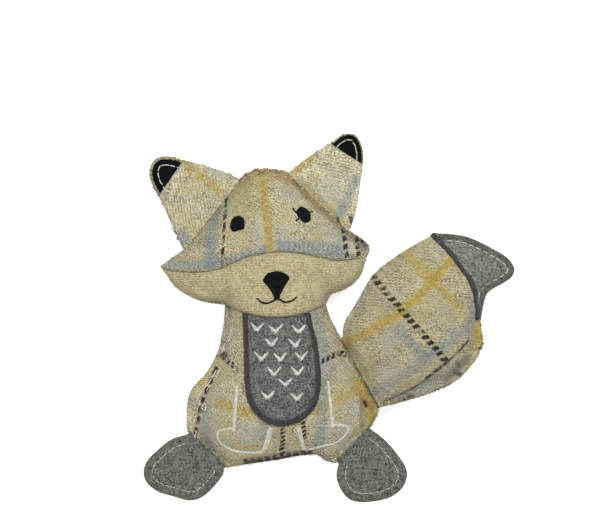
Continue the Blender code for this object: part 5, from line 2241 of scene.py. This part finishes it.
@dataclass
class Foot(Flap):
    """A flat foot of two layers of felt."""

    FINISHES = (("{}_front_felt", "foot_felt", "{}_front", 0.1),
                ("{}_back_felt", "foot_felt", "{}_back", 0.1))

    def make(self) -> None:
        """Build the two layers."""
        self.build()
        self.panel(f"{self.name}_front_felt", self.sheet.everything(), Panel.FRONT)
        self.panel(f"{self.name}_back_felt", self.sheet.everything(), Panel.BACK)

    def trim(self, sewing: "Sewing") -> None:
        """Topstitch the foot.

        Args:
            sewing: What sews.
        """
        kind = replace(RUNNING, pitch=0.0023, length=0.0016, thickness=0.00034, turn=0.2, uneven=0.35)
        sewing.sew(f"{self.name}_topstitch", self.ground("front"),
                   self.inside_rows(0.0036, 0.0016, 0.004), kind, "cream_thread", body=self.hinge.body)


@dataclass
class Tail(Flap):
    """The stuffed tail: plaid panels with felt tips."""

    FINISHES = (("tail_front_cloth", "tail_tweed", "tail_front_panel", 0.8),
                ("tail_tip_front_felt", "tip_felt", "tail_tip_front", 0.4),
                ("tail_back_cloth", "back_tweed", "tail_back_panel", 0.8),
                ("tail_tip_back_felt", "tip_felt", "tail_tip_back", 0.4),
                ("tail_filling", "filling", "tail_stuffing", 0.8))

    def make(self) -> None:
        """Build the panels and the filling."""
        self.build()
        tip = self.beyond()
        for side in Panel:
            word = side.name.lower()
            self.panel(f"tail_{word}_cloth", largest(self.sheet, ~tip), side)
            self.panel(f"tail_tip_{word}_felt", largest(self.sheet, tip), side)
        self.filling("tail_filling", self.sheet.everything())

    def trim(self, sewing: "Sewing") -> None:
        """Sew the dark band, topstitch the tip and let the edge fray.

        Args:
            sewing: What sews.
        """
        body, front = self.hinge.body, self.ground("front")
        sewing.sew("tail_topstitch", front, self.inside_rows(0.0029, 0.0021, 0.0585), RUNNING,
                   "white_thread", body=body)
        band = Row.across(smooth_curve(pattern(TAIL_BAND), 0.0005), (0.0020, 0.0025, 0.0026, 0.0025, 0.0018))
        sewing.sew("tail_band_satin", front, [band], replace(SATIN, lift=0.0004, arch=0.0008),
                   "dark_satin", ("tail_band",), body)
        out = self.hinge.out_distance(self.loop)
        along = (self.loop - self.hinge.middle) @ self.hinge.run
        dark = (along > 0.010) & (out > 0.003) & (out < 0.050)
        light = ~dark & (out > 0.003) & (out < 0.056)
        for shade, kept in (("dark", dark), ("light", light)):
            sewing.fray(f"tail_{shade}_fray", front, Row.outwards(unbroken(self.loop, kept), 0.0012),
                        f"{shade}_fibres", body)


@dataclass
class Studio:
    """Floor, lamps and camera.

    Attributes:
        width: How much of the seam plane the picture is wide.
        height: How far above the seam plane the camera hangs.
        aim: The point of the seam plane in the middle of the picture.
    """

    width: float = 0.24896
    height: float = 3.0
    aim: tuple[float, float] = (-0.01196, 0.02311)

    def build(self) -> None:
        """Make the floor, the lamps, the world and the camera."""
        self.add_floor()
        self.add_world()
        self.add_lamps()
        self.add_camera()
        bpy.context.scene.view_settings.view_transform = "Standard"

    def add_floor(self) -> None:
        """A pale floor that shows white to the camera where no shadow falls."""
        size = 3.0
        corners = np.array(((-1, -1, 0), (1, -1, 0), (1, 1, 0), (-1, 1, 0))) * size
        floor = make_object("floor", corners, [(0, 1, 2, 3)])
        paint = Paint("pale_floor", Roughness=1.0, Specular_IOR_Level=0.0)
        grain = paint.noise(60, 2)
        paint.feed(Base_Color=paint.mix(grain, (0.80, 0.80, 0.80), (0.82, 0.82, 0.82)))
        rays = [paint.node("ShaderNodeLightPath", {}, {}, f"Is {kind} Ray")
                for kind in ("Camera", "Glossy", "Transmission")]
        light = (rays[0] + rays[1] + rays[2]).math("MINIMUM", 1.0)
        glow = paint.node("ShaderNodeEmission", {}, {"Color": (1, 1, 1, 1), "Strength": 0.72})
        none = paint.node("ShaderNodeEmission", {}, {"Color": (0, 0, 0, 1), "Strength": 0.0})
        seen = paint.node("ShaderNodeMixShader", {}, {0: light, 1: none, 2: glow})
        body = Signal(paint, paint.shader.outputs["BSDF"])
        both = paint.node("ShaderNodeAddShader", {}, {0: body, 1: seen})
        output = paint.tree.nodes["Material Output"]
        paint.tree.links.new(both.socket, output.inputs["Surface"])
        floor.data.materials.append(paint.material)

    def add_world(self) -> None:
        """Even light from all round, and white where the camera sees past the floor."""
        world = bpy.data.worlds.new("studio")
        world.use_nodes = True
        bpy.context.scene.world = world
        background = world.node_tree.nodes["Background"]
        background.inputs["Color"].default_value = (1, 1, 1, 1)
        background.inputs["Strength"].default_value = 0.44

    def add_lamps(self) -> None:
        """Two soft lamps above the toy."""
        for name, place, size, power in (
            ("key_lamp", (0.18, 0.40, 1.05), 0.50, 8.8),
            ("fill_lamp", (-0.5, -0.3, 0.9), 0.9, 1.6),
        ):
            lamp = bpy.data.lights.new(name, "AREA")
            lamp.shape = "DISK"
            lamp.size = size
            lamp.energy = power
            thing = add_object(name, lamp)
            thing.location = place
            aim = Vector((*self.aim, SEAM_HEIGHT)) - Vector(place)
            thing.rotation_euler = aim.to_track_quat("-Z", "Y").to_euler()

    def add_camera(self) -> None:
        """A long lens that looks straight down."""
        lens = bpy.data.cameras.new("camera")
        lens.sensor_fit = "HORIZONTAL"
        lens.lens = lens.sensor_width * self.height / self.width
        lens.clip_start = 0.01
        lens.clip_end = 20
        camera = add_object("camera", lens)
        camera.location = (*self.aim, SEAM_HEIGHT + self.height)
        bpy.context.scene.camera = camera


EAR_STRIPES = {
    "left_ear": (
        Stripe(OCHRE, (-37.6, 58.4), (-22.6, 46.6), 3.2, 0.75, 5.2, 0.75, soft=1),
        Stripe(STRAW, (-38.6, 59.2), (-21.8, 46.0), 4.2, 0.5, soft=1.2),
        Stripe(SKY, (-41.5, 30.0), (-37.0, 25.0), 6, 0.6, soft=1.6),
    ),
    "right_ear": (
        Stripe(OCHRE, (6.8, 55.4), (15.6, 61.0), 3.4, 0.80, 6, 0.8, soft=1),
        Stripe(SKY, (33.6, 54.0), (26.5, 36.0), 3.6, 0.6, soft=1.4),
        Stripe(INK, (25.6, 36.6), (26.2, 33.6), 1.6, 0.85),
        Stripe(INK, (31.0, 37.2), (31.8, 33.2), 1.6, 0.85),
        Stripe(OCHRE, (6.0, 56.0), (30.0, 32.6), 1.8, 0.45, soft=1),
    ),
}
BACK_STRIPES = (
    Stripe(STRAW, (-60, 30), (60, 34), 4.6, 0.6, soft=1.2, whole=True),
    Stripe(OCHRE, (-60, 30), (60, 34), 2.6, 0.75, 5.5, 0.65, whole=True),
    Stripe(STRAW, (-60, -30), (60, -26), 4.6, 0.6, soft=1.2, whole=True),
    Stripe(OCHRE, (-60, -30), (60, -26), 2.6, 0.75, 5.5, 0.65, whole=True),
    Stripe(SKY, (-60, 4), (60, 8), 5, 0.6, soft=1.2, whole=True),
    Stripe(INK, (-10, 60), (-13, -70), 1.7, 0.9, 2.6, 0.6, 0.5, whole=True),
    Stripe(INK, (40, 60), (37, -70), 1.7, 0.9, 2.6, 0.6, 0.5, whole=True),
    Stripe(STRAW, (65, 60), (62, -70), 4.6, 0.6, soft=1.2, whole=True),
    Stripe(SKY, (15, 60), (12, -70), 5, 0.6, soft=1.2, whole=True),
)
FINISHES = (
    Tweed("body_tweed", TORSO_STRIPES),
    Tweed("forehead_tweed", FOREHEAD_STRIPES, 0.12),
    Tweed("tail_tweed", TAIL_STRIPES, 0.72, (0.68, 0.61, 0.39)),
    Tweed("left_ear_tweed", EAR_STRIPES["left_ear"], -0.65, (0.86, 0.80, 0.55)),
    Tweed("right_ear_tweed", EAR_STRIPES["right_ear"], 0.55, (0.92, 0.86, 0.58)),
    Tweed("back_tweed", BACK_STRIPES, 0.03),
    Tweed("muzzle_twill", (), 0.80, (0.69, 0.61, 0.37), (0.27, 0.215, 0.115), 0.00074, "plain_twill"),
    Felt("foot_felt", (0.040, 0.041, 0.036), (0.235, 0.245, 0.22), 0.94),
    Felt("tip_felt", (0.060, 0.063, 0.055), (0.30, 0.32, 0.27), 0.6),
    Felt("patch_felt", (0.032, 0.032, 0.031), (0.23, 0.235, 0.225)),
    Felt("black_felt", (0.003, 0.003, 0.003), (0.010, 0.010, 0.011), sheen=0.0, slot="black_felt"),
    Felt("filling", (0.70, 0.70, 0.68), (0.85, 0.85, 0.83), slot="fibre_filling"),
    Thread("white_thread", (0.66, 0.66, 0.61), 0.75, 0.22, 0.2),
    Thread("cream_thread", (0.62, 0.57, 0.42), 0.8, 0.25, 0.15),
    Thread("chalk_thread", (0.60, 0.59, 0.50), 0.8, 0.20, 0.12),
    Thread("black_thread", (0.0045, 0.0042, 0.0048), 0.5, 0.3, 0.10, "black_thread"),
    Thread("dark_satin", (0.045, 0.044, 0.045), 0.5, 0.4, 0.35, "dark_satin"),
    Fibres("rust_fibres", (RUST, STRAW, CREAM, TAUPE)),
    Fibres("crown_fibres", (CREAM, STRAW, OCHRE, BEIGE)),
    Fibres("light_fibres", (CREAM, BEIGE, STRAW, TAUPE)),
    Fibres("dark_fibres", (TAUPE, OCHRE, CREAM, INK)),
)


def dress_nodes() -> None:
    """Give the nodes of the frame that stay their materials."""
    for node, plastic in (("squeaker_bulb", Plastic("bulb_plastic", (0.75, 0.75, 0.72))),
                          ("squeaker_reed", Plastic("reed_plastic", (0.10, 0.25, 0.55)))):
        look = plastic.make()
        for slot in frame["nodes"][node].material_slots:
            slot.material = look


@dataclass(frozen=True)
class Stitch:
    """A kind of stitch, in metres.

    Attributes:
        pitch: How far one stitch is from the next.
        length: How long a usual one is.
        thickness: The thickness of the thread.
        arch: How far its middle stands up.
        turn: How far stitches lean at random, in radians.
        shift: How far they are moved at random along their own run.
        uneven: How much their lengths differ, as a share.
        lift: How far above the cloth they lie.
    """

    pitch: float
    length: float
    thickness: float
    arch: float
    turn: float = 0.08
    shift: float = 0.0001
    uneven: float = 0.05
    lift: float = 0.0001


SATIN = Stitch(0.00027, 0.0020, 0.00038, 0.00050)
FINE_SATIN = Stitch(0.00025, 0.0009, 0.00036, 0.00045, 0.10, 0.00006, 0.08)
FUZZY_SATIN = Stitch(SATIN_PITCH, 0.0012, 0.00036, 0.00070, 0.42, 0.00018, 0.30)
RUNNING = Stitch(0.0031, 0.0022, 0.00040, 0.00045, 0.10, 0.0001, 0.15)
FRAY = {"Pitch": 0.00030, "Length": 0.0017, "Thickness": 0.00042, "Bend": 0.0007, "Turn": 0.9,
        "Shift": 0.0006}
PATCH_EDGE = ((-13.6, -3.6), (-13.5, -10.0), (-13.2, -18.7), (-12.9, -28.7), (-12.1, -36.6),
              (-10.3, -41.6), (-7.2, -45.8), (-2.7, -49.0), (3.6, -49.9), (9.4, -48.4), (13.6, -45.4),
              (17.2, -40.4), (18.8, -32.9), (18.6, -24.5), (17.5, -15.5), (15.4, -7.5), (14.6, -3.4))
CHEVRONS = ((-7.5, -10.6), (0.1, -11.3), (9.7, -11.2), (-1.7, -16.8), (8, -17.1), (-5.7, -22.4),
            (2, -22.9), (10.7, -22.5), (-0.6, -28.8), (9.3, -28.5), (3.9, -33.3), (-3.2, -38.5),
            (8.9, -39.2))
LEGS = {
    "left_leg": (
        (((-16.0, -33.4), (-16.6, -42.0), (-17.4, -51.6)), (0.0014, 0.0015, 0.0014)),
        (((-17.6, -51.0), (-23.0, -52.0), (-24.1, -54.2), (-22.4, -57.5), (-17.4, -60.3), (-11.9, -61.1),
          (-6.3, -60.9), (-4.1, -58.6), (-2.7, -53.6), (-1.8, -50.4)),
         (0.0012, 0.0012, 0.0013, 0.0014, 0.0020, 0.0019))),
    "right_leg": (
        (((21.8, -31.4), (22.8, -41.0), (23.7, -50.4)), (0.0009, 0.0012, 0.0014)),
        (((24.2, -49.6), (28.2, -49.8), (30.3, -51.3), (28.2, -54.8), (24.3, -57.3), (18.7, -58.6),
          (12.1, -59.8), (10.9, -55.9), (9.5, -50.6)),
         (0.0011, 0.0012, 0.0012, 0.0013, 0.0014, 0.0016))),
}
NOSE = ((-5.1, 10.3), (-3.5, 12.7), (-1.2, 13.4), (1.9, 13.5), (4.4, 12.7), (5.7, 11.2), (4.6, 9.2),
        (3.2, 7.0), (1.9, 4.4), (1.5, 2.8), (0.0, 2.7), (-1.0, 4.7), (-2.5, 7.3), (-4.1, 8.9))
MOUTH = ((-7.6, 2.8), (-5.7, 1.2), (-3.4, 0.8), (-0.6, 1.9), (0.7, 2.8), (2.0, 2.2), (4.1, 1.2),
         (6.7, 1.8), (8.9, 3.4))
EYES = {
    "left_eye": ((-18.3, 34.5), (-17.6, 35.8), (-15.7, 36.6), (-13.5, 35.8), (-12.9, 34.5),
                 (-12.9, 32.0), (-14.8, 31.3), (-16.7, 30.7), (-17.6, 30.7), (-18.5, 32.0)),
    "right_eye": ((8.7, 38.9), (10.7, 40.5), (13.1, 39.7), (14.4, 37.7), (14.3, 35.5), (12.7, 34.3),
                  (10.7, 35.1), (9.1, 36.9)),
}
LASHES = (((7.2, 39.9), (8.6, 38.2)), ((13.0, 38.2), (15.4, 38.7)), ((8.5, 34.9), (9.9, 36.0)),
          ((12.1, 34.2), (12.7, 35.0)))
TAIL_BAND = ((64.6, 29.6), (66.4, 28.0), (72.8, 20.7), (77.8, 14.1), (80.5, 10.1), (82.4, 5.2),
             (83.0, 0.0), (83.8, -6.0))
LOOSE_THREADS = (
    ((-17.5, -8.5), (-18.4, -12.0), (-19.2, -15.0), (-22.4, -20.0)),
    ((-18.8, -12.4), (-20.6, -16.2), (-21.6, -17.2), (-21.0, -19.4)),
    ((-24.6, -27.0), (-27.5, -32.2), (-31.2, -36.4), (-33.0, -40.2)),
    ((-29.2, -40.6), (-30.4, -42.6), (-29.0, -43.6), (-28.6, -41.4)),
    ((-33.0, -53.2), (-34.6, -56.2), (-36.2, -58.6)),
    ((28.6, -9.6), (29.4, -12.0), (28.2, -13.4), (27.6, -11.6)),
    ((-7.0, 56.0), (-5.6, 59.0), (-4.0, 59.6)),
)


class Sewing:
    """Everything that is sewn on or frays: stitches, fibres and loose threads."""

    def __init__(self, looks: Looks) -> None:
        """Build the two trees.

        Args:
            looks: The finishes.
        """
        self.looks = looks
        self.stitch_tree = StitchTree()
        self.fray_tree = FrayTree()

    def sew(self, name: str, ground: Ground, rows: Sequence[Row], kind: Stitch, look: str,
            nodes: Sequence[str] = (), body: str = "torso") -> None:
        """Sew rows of one kind of stitch as one piece.

        Args:
            name: The name of the piece.
            ground: The cloth that it is sewn through.
            rows: The rows.
            kind: The kind of stitch.
            look: The name of its finish.
            nodes: The nodes of the frame that it stands for.
            body: The body that it rides on.
        """
        sizes = {key.capitalize(): value for key, value in asdict(kind).items() if key != "lift"}
        piece = self.stitch_tree.grow(name, rows, ground, kind.lift, self.looks.materials[look], **sizes)
        self.looks.finish(piece, look, nodes, body)

    def fray(self, name: str, ground: Ground, rows: Sequence[Row], look: str, body: str = "torso",
             **changes: float) -> None:
        """Let fibres stand out along raw edges.

        Args:
            name: The name of the piece.
            ground: The cloth that frays.
            rows: The edges.
            look: The name of its finish.
            body: The body that it rides on.
            changes: Sizes that differ from the usual ones.
        """
        sizes = {**FRAY, **changes}
        piece = self.fray_tree.grow(name, rows, ground, -0.0002, self.looks.materials[look], **sizes)
        self.looks.finish(piece, look, (), body)

    def loose_threads(self, ground: Ground, thickness: float = 0.00042) -> None:
        """Lay the loose threads of the torso on its cloth as round strands.

        Args:
            ground: The cloth.
            thickness: The thickness of the threads.
        """
        curve = bpy.data.curves.new("torso_loose_threads", "CURVE")
        curve.dimensions = "3D"
        curve.bevel_depth = thickness / 2
        curve.bevel_resolution = 1
        curve.use_fill_caps = True
        for line in LOOSE_THREADS:
            xy = smooth_curve(pattern(line), 0.0004)
            places, _ = ground.land(xy, thickness * 0.5)
            hump = np.sin(np.linspace(0, math.pi, len(xy))) * thickness * 1.2
            spline = curve.splines.new("POLY")
            spline.points.add(len(xy) - 1)
            for point, place, rise in zip(spline.points, places, hump):
                point.co = (*place[:2], place[2] + rise, 1)
        piece = plain_piece("torso_loose_threads", add_object("loose_paths", curve))
        self.looks.finish(piece, "white_thread", (), "torso")

    def patch(self, torso: Torso) -> Thing:
        """Lay the felt patch on the tummy, with its top tucked in under the muzzle.

        Args:
            torso: The torso, for its chin seam and the cloth of its body.

        Returns:
            The felt.
        """
        line = beside(smooth_curve(pattern(PATCH_EDGE), 0.0010), 0.0003)
        top = divided(np.vstack((line[-1], line[0])), 0.0010)[1:-1]
        top[:, 1] = np.interp(top[:, 0], torso.chin[:, 0], torso.chin[:, 1]) - 0.0002
        loop = np.vstack((line, top))
        sheet = Sheet.cut(loop, [], 0.0010)
        thinnest, swollen, reach = 0.0002, 0.0007, 0.002
        below = -torso.side_of(torso.chin, sheet.xy)
        lower = torso.ground("body_front").land(sheet.xy)[0] + (0, 0, 0.00012)
        upper = lower + np.outer(thinnest + swollen * eased(below / reach), (0, 0, 1))
        upper[:, 2] -= edge_round(sheet, sheet.everything(), 0.0005)
        piece = shell("tummy_patch_felt", sheet, sheet.everything(), upper, lower, Panel.FRONT)
        self.looks.finish(piece, "patch_felt", ("tummy_patch",), "torso")
        area = float(np.abs(sheet.twice_areas()).sum() / 2)
        return piece

    def dress_torso(self, torso: Torso) -> None:
        """Sew the patch, the embroidery, the topstitching and the fray of the torso.

        Args:
            torso: The torso.
        """
        cloth = torso.ground("forehead", "muzzle", "body_front")
        self.dress_tummy(Ground.under([self.patch(torso)]))
        for name, parts in LEGS.items():
            rows = [Row.across(smooth_curve(pattern(line), 0.0005), widths) for line, widths in parts]
            self.sew(f"{name}_stitches", cloth, rows, replace(SATIN, length=0.0012, arch=0.0004),
                     "chalk_thread", (f"{name}_outline",))
        self.dress_face(cloth)
        self.topstitch(torso, cloth)
        self.loose_threads(cloth)
        self.fray_edges(torso, cloth)

    def dress_tummy(self, felt: Ground) -> None:
        """Sew the satin border and the chevrons on the patch.

        Args:
            felt: The felt of the patch.
        """
        edge = beside(smooth_curve(pattern(PATCH_EDGE), 0.0006), 0.0012)
        self.sew("tummy_border_satin", felt, [Row.across(edge, (0.0024, 0.0025, 0.0025, 0.0024))],
                 replace(SATIN, lift=0.00025), "dark_satin", ("tummy_border",))
        rng = np.random.default_rng(13)
        arms = []
        for middle in CHEVRONS:
            left, right, tip = rng.uniform(-0.25, 0.25, (3, 2)) + ((-2.6, 2.9), (2.6, 3.1), (0, 0.2)) + middle
            arms += [Row.across(pattern((end, tip)), (0.0005, 0.0010, 0.0013)) for end in (left, right)]
        self.sew("chevron_stitches", felt, arms, FUZZY_SATIN, "white_thread",
                 [f"chevron_{number:02d}" for number in range(1, len(CHEVRONS) + 1)])

    def dress_face(self, cloth: Ground) -> None:
        """Embroider the nose, the mouth and the eyes.

        Args:
            cloth: The cloth of the front.
        """
        thick = replace(SATIN, thickness=0.00042)
        self.sew("nose_stitches", cloth, Row.filling(NOSE, 3), replace(thick, length=0.0030, lift=0.0003),
                 "black_thread", ("nose",))
        widths = (0.0005, 0.0007, 0.0007, 0.0006, 0.0007, 0.0007, 0.0005)
        mouth = Row.across(smooth_curve(pattern(MOUTH), 0.0004), widths)
        self.sew("mouth_stitches", cloth, [mouth], FINE_SATIN, "black_thread", ("mouth",))
        for name, outline in EYES.items():
            rows = Row.filling(outline, 2)
            if name == "right_eye":
                rows += [Row.across(pattern(lash), (0.0007, 0.0005)) for lash in LASHES]
            self.sew(f"{name}_stitches", cloth, rows, replace(thick, length=0.0024, lift=0.0002),
                     "black_thread", (name,))

    def topstitch(self, torso: Torso, cloth: Ground) -> None:
        """Run stitches along the crown and the left hip.

        Args:
            torso: The torso.
            cloth: The cloth of its front.
        """
        x, y = ((torso.held - PLACE) / MM).T
        crown = unbroken(torso.held, (y > 51.2) & (x < 4.5))
        hip = unbroken(torso.held, (x < -23.5) & (y < -26) & (y > -54))
        self.sew("crown_topstitch", cloth, Row.along(crown, 0.0022),
                 replace(RUNNING, thickness=0.00034, turn=0.3, uneven=0.35), "cream_thread")
        self.sew("hip_topstitch", cloth, Row.along(hip, 0.0036),
                 replace(RUNNING, pitch=0.0058, length=0.0034), "white_thread")

    def fray_edges(self, torso: Torso, cloth: Ground) -> None:
        """Let the raw edges of the torso fray, in rust where the rust stripe meets them.

        Args:
            torso: The torso.
            cloth: The cloth of its front.
        """
        x, y = ((torso.loop - PLACE) / MM).T
        rust = (y > 51.0) & (x > -16) | (y > 30) & (x > 4)
        light = ~rust & ((np.abs(y) > 7) | (x > 24))
        for shade, kept, reach in (("rust", rust, 0.0013), ("light", light, 0.0009)):
            rows = Row.outwards(unbroken(torso.loop, kept), reach)
            self.fray(f"torso_{shade}_fray", cloth, rows, f"{shade}_fibres")
        crown = unbroken(torso.loop, (y > 52.6) & (x > -10) & (x < 4.5))
        self.fray("crown_tufts", cloth, Row.outwards(crown, 0.0030), "crown_fibres",
                  Pitch=0.00042, Bend=0.0012)


LEFT_EAR_EDGE = (
    Stretch(((-15.6, 6.3), (-12.6, 12.0), (-9.7, 17.4), (-7.6, 22.3), (-5.3, 27.5), (-2.3, 31.0),
             (1.3, 32.5), (5.3, 31.5), (8.2, 27.9), (10.1, 23.7), (13.3, 16.1), (16.0, 9.3)), (3.0, 3.0)),)
RIGHT_EAR_EDGE = (
    Stretch(((-15.6, 11.6), (-13.1, 21.0), (-12.4, 25.7), (-10.1, 29.3), (-6.4, 30.2), (-2.3, 28.4),
             (1.4, 25.1), (4.4, 21.1), (7.6, 16.6), (11.2, 11.5), (14.4, 6.5)), (3.0, 3.0)),)
LEFT_FOOT_EDGE = (
    Stretch(((-11.9, 3.5), (-12.4, 9.9), (-11.7, 15.9), (-8.7, 20.5), (-2.3, 23.9), (3.2, 26.6),
             (9.1, 27.0), (13.2, 24.6), (15.2, 20.2), (15.0, 13.6), (13.9, 6.9)), (3.0, 3.0)),)
RIGHT_FOOT_EDGE = (
    Stretch(((-10.6, 7.8), (-9.9, 15.9), (-8.4, 22.1), (-5.4, 25.5), (-0.6, 27.0), (5.9, 25.6),
             (13.4, 20.2), (17.1, 15.1), (17.0, 9.7), (14.5, 4.3)), (3.0, 3.0)),)
TAIL_EDGE = (
    Stretch(((-21.4, 4.6), (-27.2, 14.3), (-33.3, 25.1), (-35.6, 39.4), (-35.9, 53.7), (-35.3, 56.4),
             (-28.4, 66.1), (-17.9, 73.8), (-13.0, 76.5), (-9.3, 77.3), (-6.9, 76.9), (-4.9, 74.6),
             (-4.3, 70.7), (-4.3, 65.3), (-3.5, 61.8), (-0.3, 58.7), (4.9, 54.5)),
            (1.4, 1.4, 1.6, 1.8, 2.6, 2.9, 2.9, 2.6)),
    Stretch(((4.9, 54.5), (7.5, 53.3), (11.9, 51.8), (14.8, 49.5), (18.2, 44.8), (21.1, 37.5),
             (22.0, 30.9), (21.4, 23.2), (20.3, 15.5), (18.5, 7.7)), (2.5, 4.0, 4.5, 3.5, 2.0)),)
TAIL_SEAM = ((-40.5, 53.7), (-35.3, 54.9), (-25.2, 56.4), (-16.8, 58.0), (-6.9, 57.6), (-1.7, 56.4),
             (4.9, 54.5), (7.5, 55.7), (14.5, 61.8))
TAIL_FOLDS = (
    Fold(((-9.0, 3.0), (-7.0, 9.0), (-6.0, 16.0)), 0.0022, 0.0010),
    Fold(((3.0, 3.0), (3.5, 10.0), (2.0, 17.0)), 0.0024, 0.0009),
    Fold(((13.5, 12.0), (16.0, 22.0), (17.0, 32.0), (15.5, 43.0)), 0.0015, 0.0009),
    Fold(((-35.0, 53.0), (-25.2, 56.4), (-16.8, 58.0), (-6.9, 57.6), (4.0, 54.0)), 0.0016, 0.0005),
)


def make_flaps() -> list[Ear | Foot | Tail]:
    """The ears, the feet and the tail, not built yet.

    Returns:
        The flaps.
    """
    ear = {"layer": 0.0010, "swell_front": 0.0014, "swell_back": 0.0014, "root_flange": 0.5, "waves": 0.0005}
    foot = {"layer": 0.0012, "swell_front": 0.0004, "swell_back": 0.0004, "root_flange": 0.5,
            "waves": 0.0005, "curl": -0.0020}
    return [
        Ear("left_ear", LEFT_EAR_EDGE, **ear, fringe=0.0012, curl=-0.0012,
            lines=(((-22.8, 21.0), (22.8, 23.6)),),
            folds=(Fold(((-6.0, 5.0), (-2.0, 14.0), (0.5, 24.0)), 0.0050, 0.0005),
                   Fold(((9.0, 4.0), (7.5, 12.0), (6.0, 20.0)), 0.0040, -0.0005))),
        Ear("right_ear", RIGHT_EAR_EDGE, **ear, fringe=0.0006, curl=-0.0010,
            lines=(((-21.3, 19.2), (21.3, 26.9)),),
            folds=(Fold(((4.0, 4.0), (3.0, 13.0), (1.0, 22.0)), 0.0050, 0.0006),
                   Fold(((-9.0, 5.0), (-8.0, 14.0), (-8.0, 24.0)), 0.0040, -0.0005))),
        Foot("left_foot", LEFT_FOOT_EDGE, **foot),
        Foot("right_foot", RIGHT_FOOT_EDGE, **foot),
        Tail("tail", TAIL_EDGE, 0.0010, 0.0123, 0.0153, 1.4, stuffed=True, waves=0.0011,
             lines=(TAIL_SEAM,), folds=TAIL_FOLDS),
    ]


def main() -> None:
    """Build the toy in order and dress it."""
    logging.basicConfig(level=logging.INFO, format="%(message)s")
    looks = Looks(FINISHES)
    Studio().build()
    torso = Torso()
    torso.build()
    torso.dress(looks)
    sewing = Sewing(looks)
    sewing.dress_torso(torso)
    for flap in make_flaps():
        flap.make()
        flap.dress(looks)
        flap.trim(sewing)
    dress_nodes()


if __name__ == "__main__":
    main()
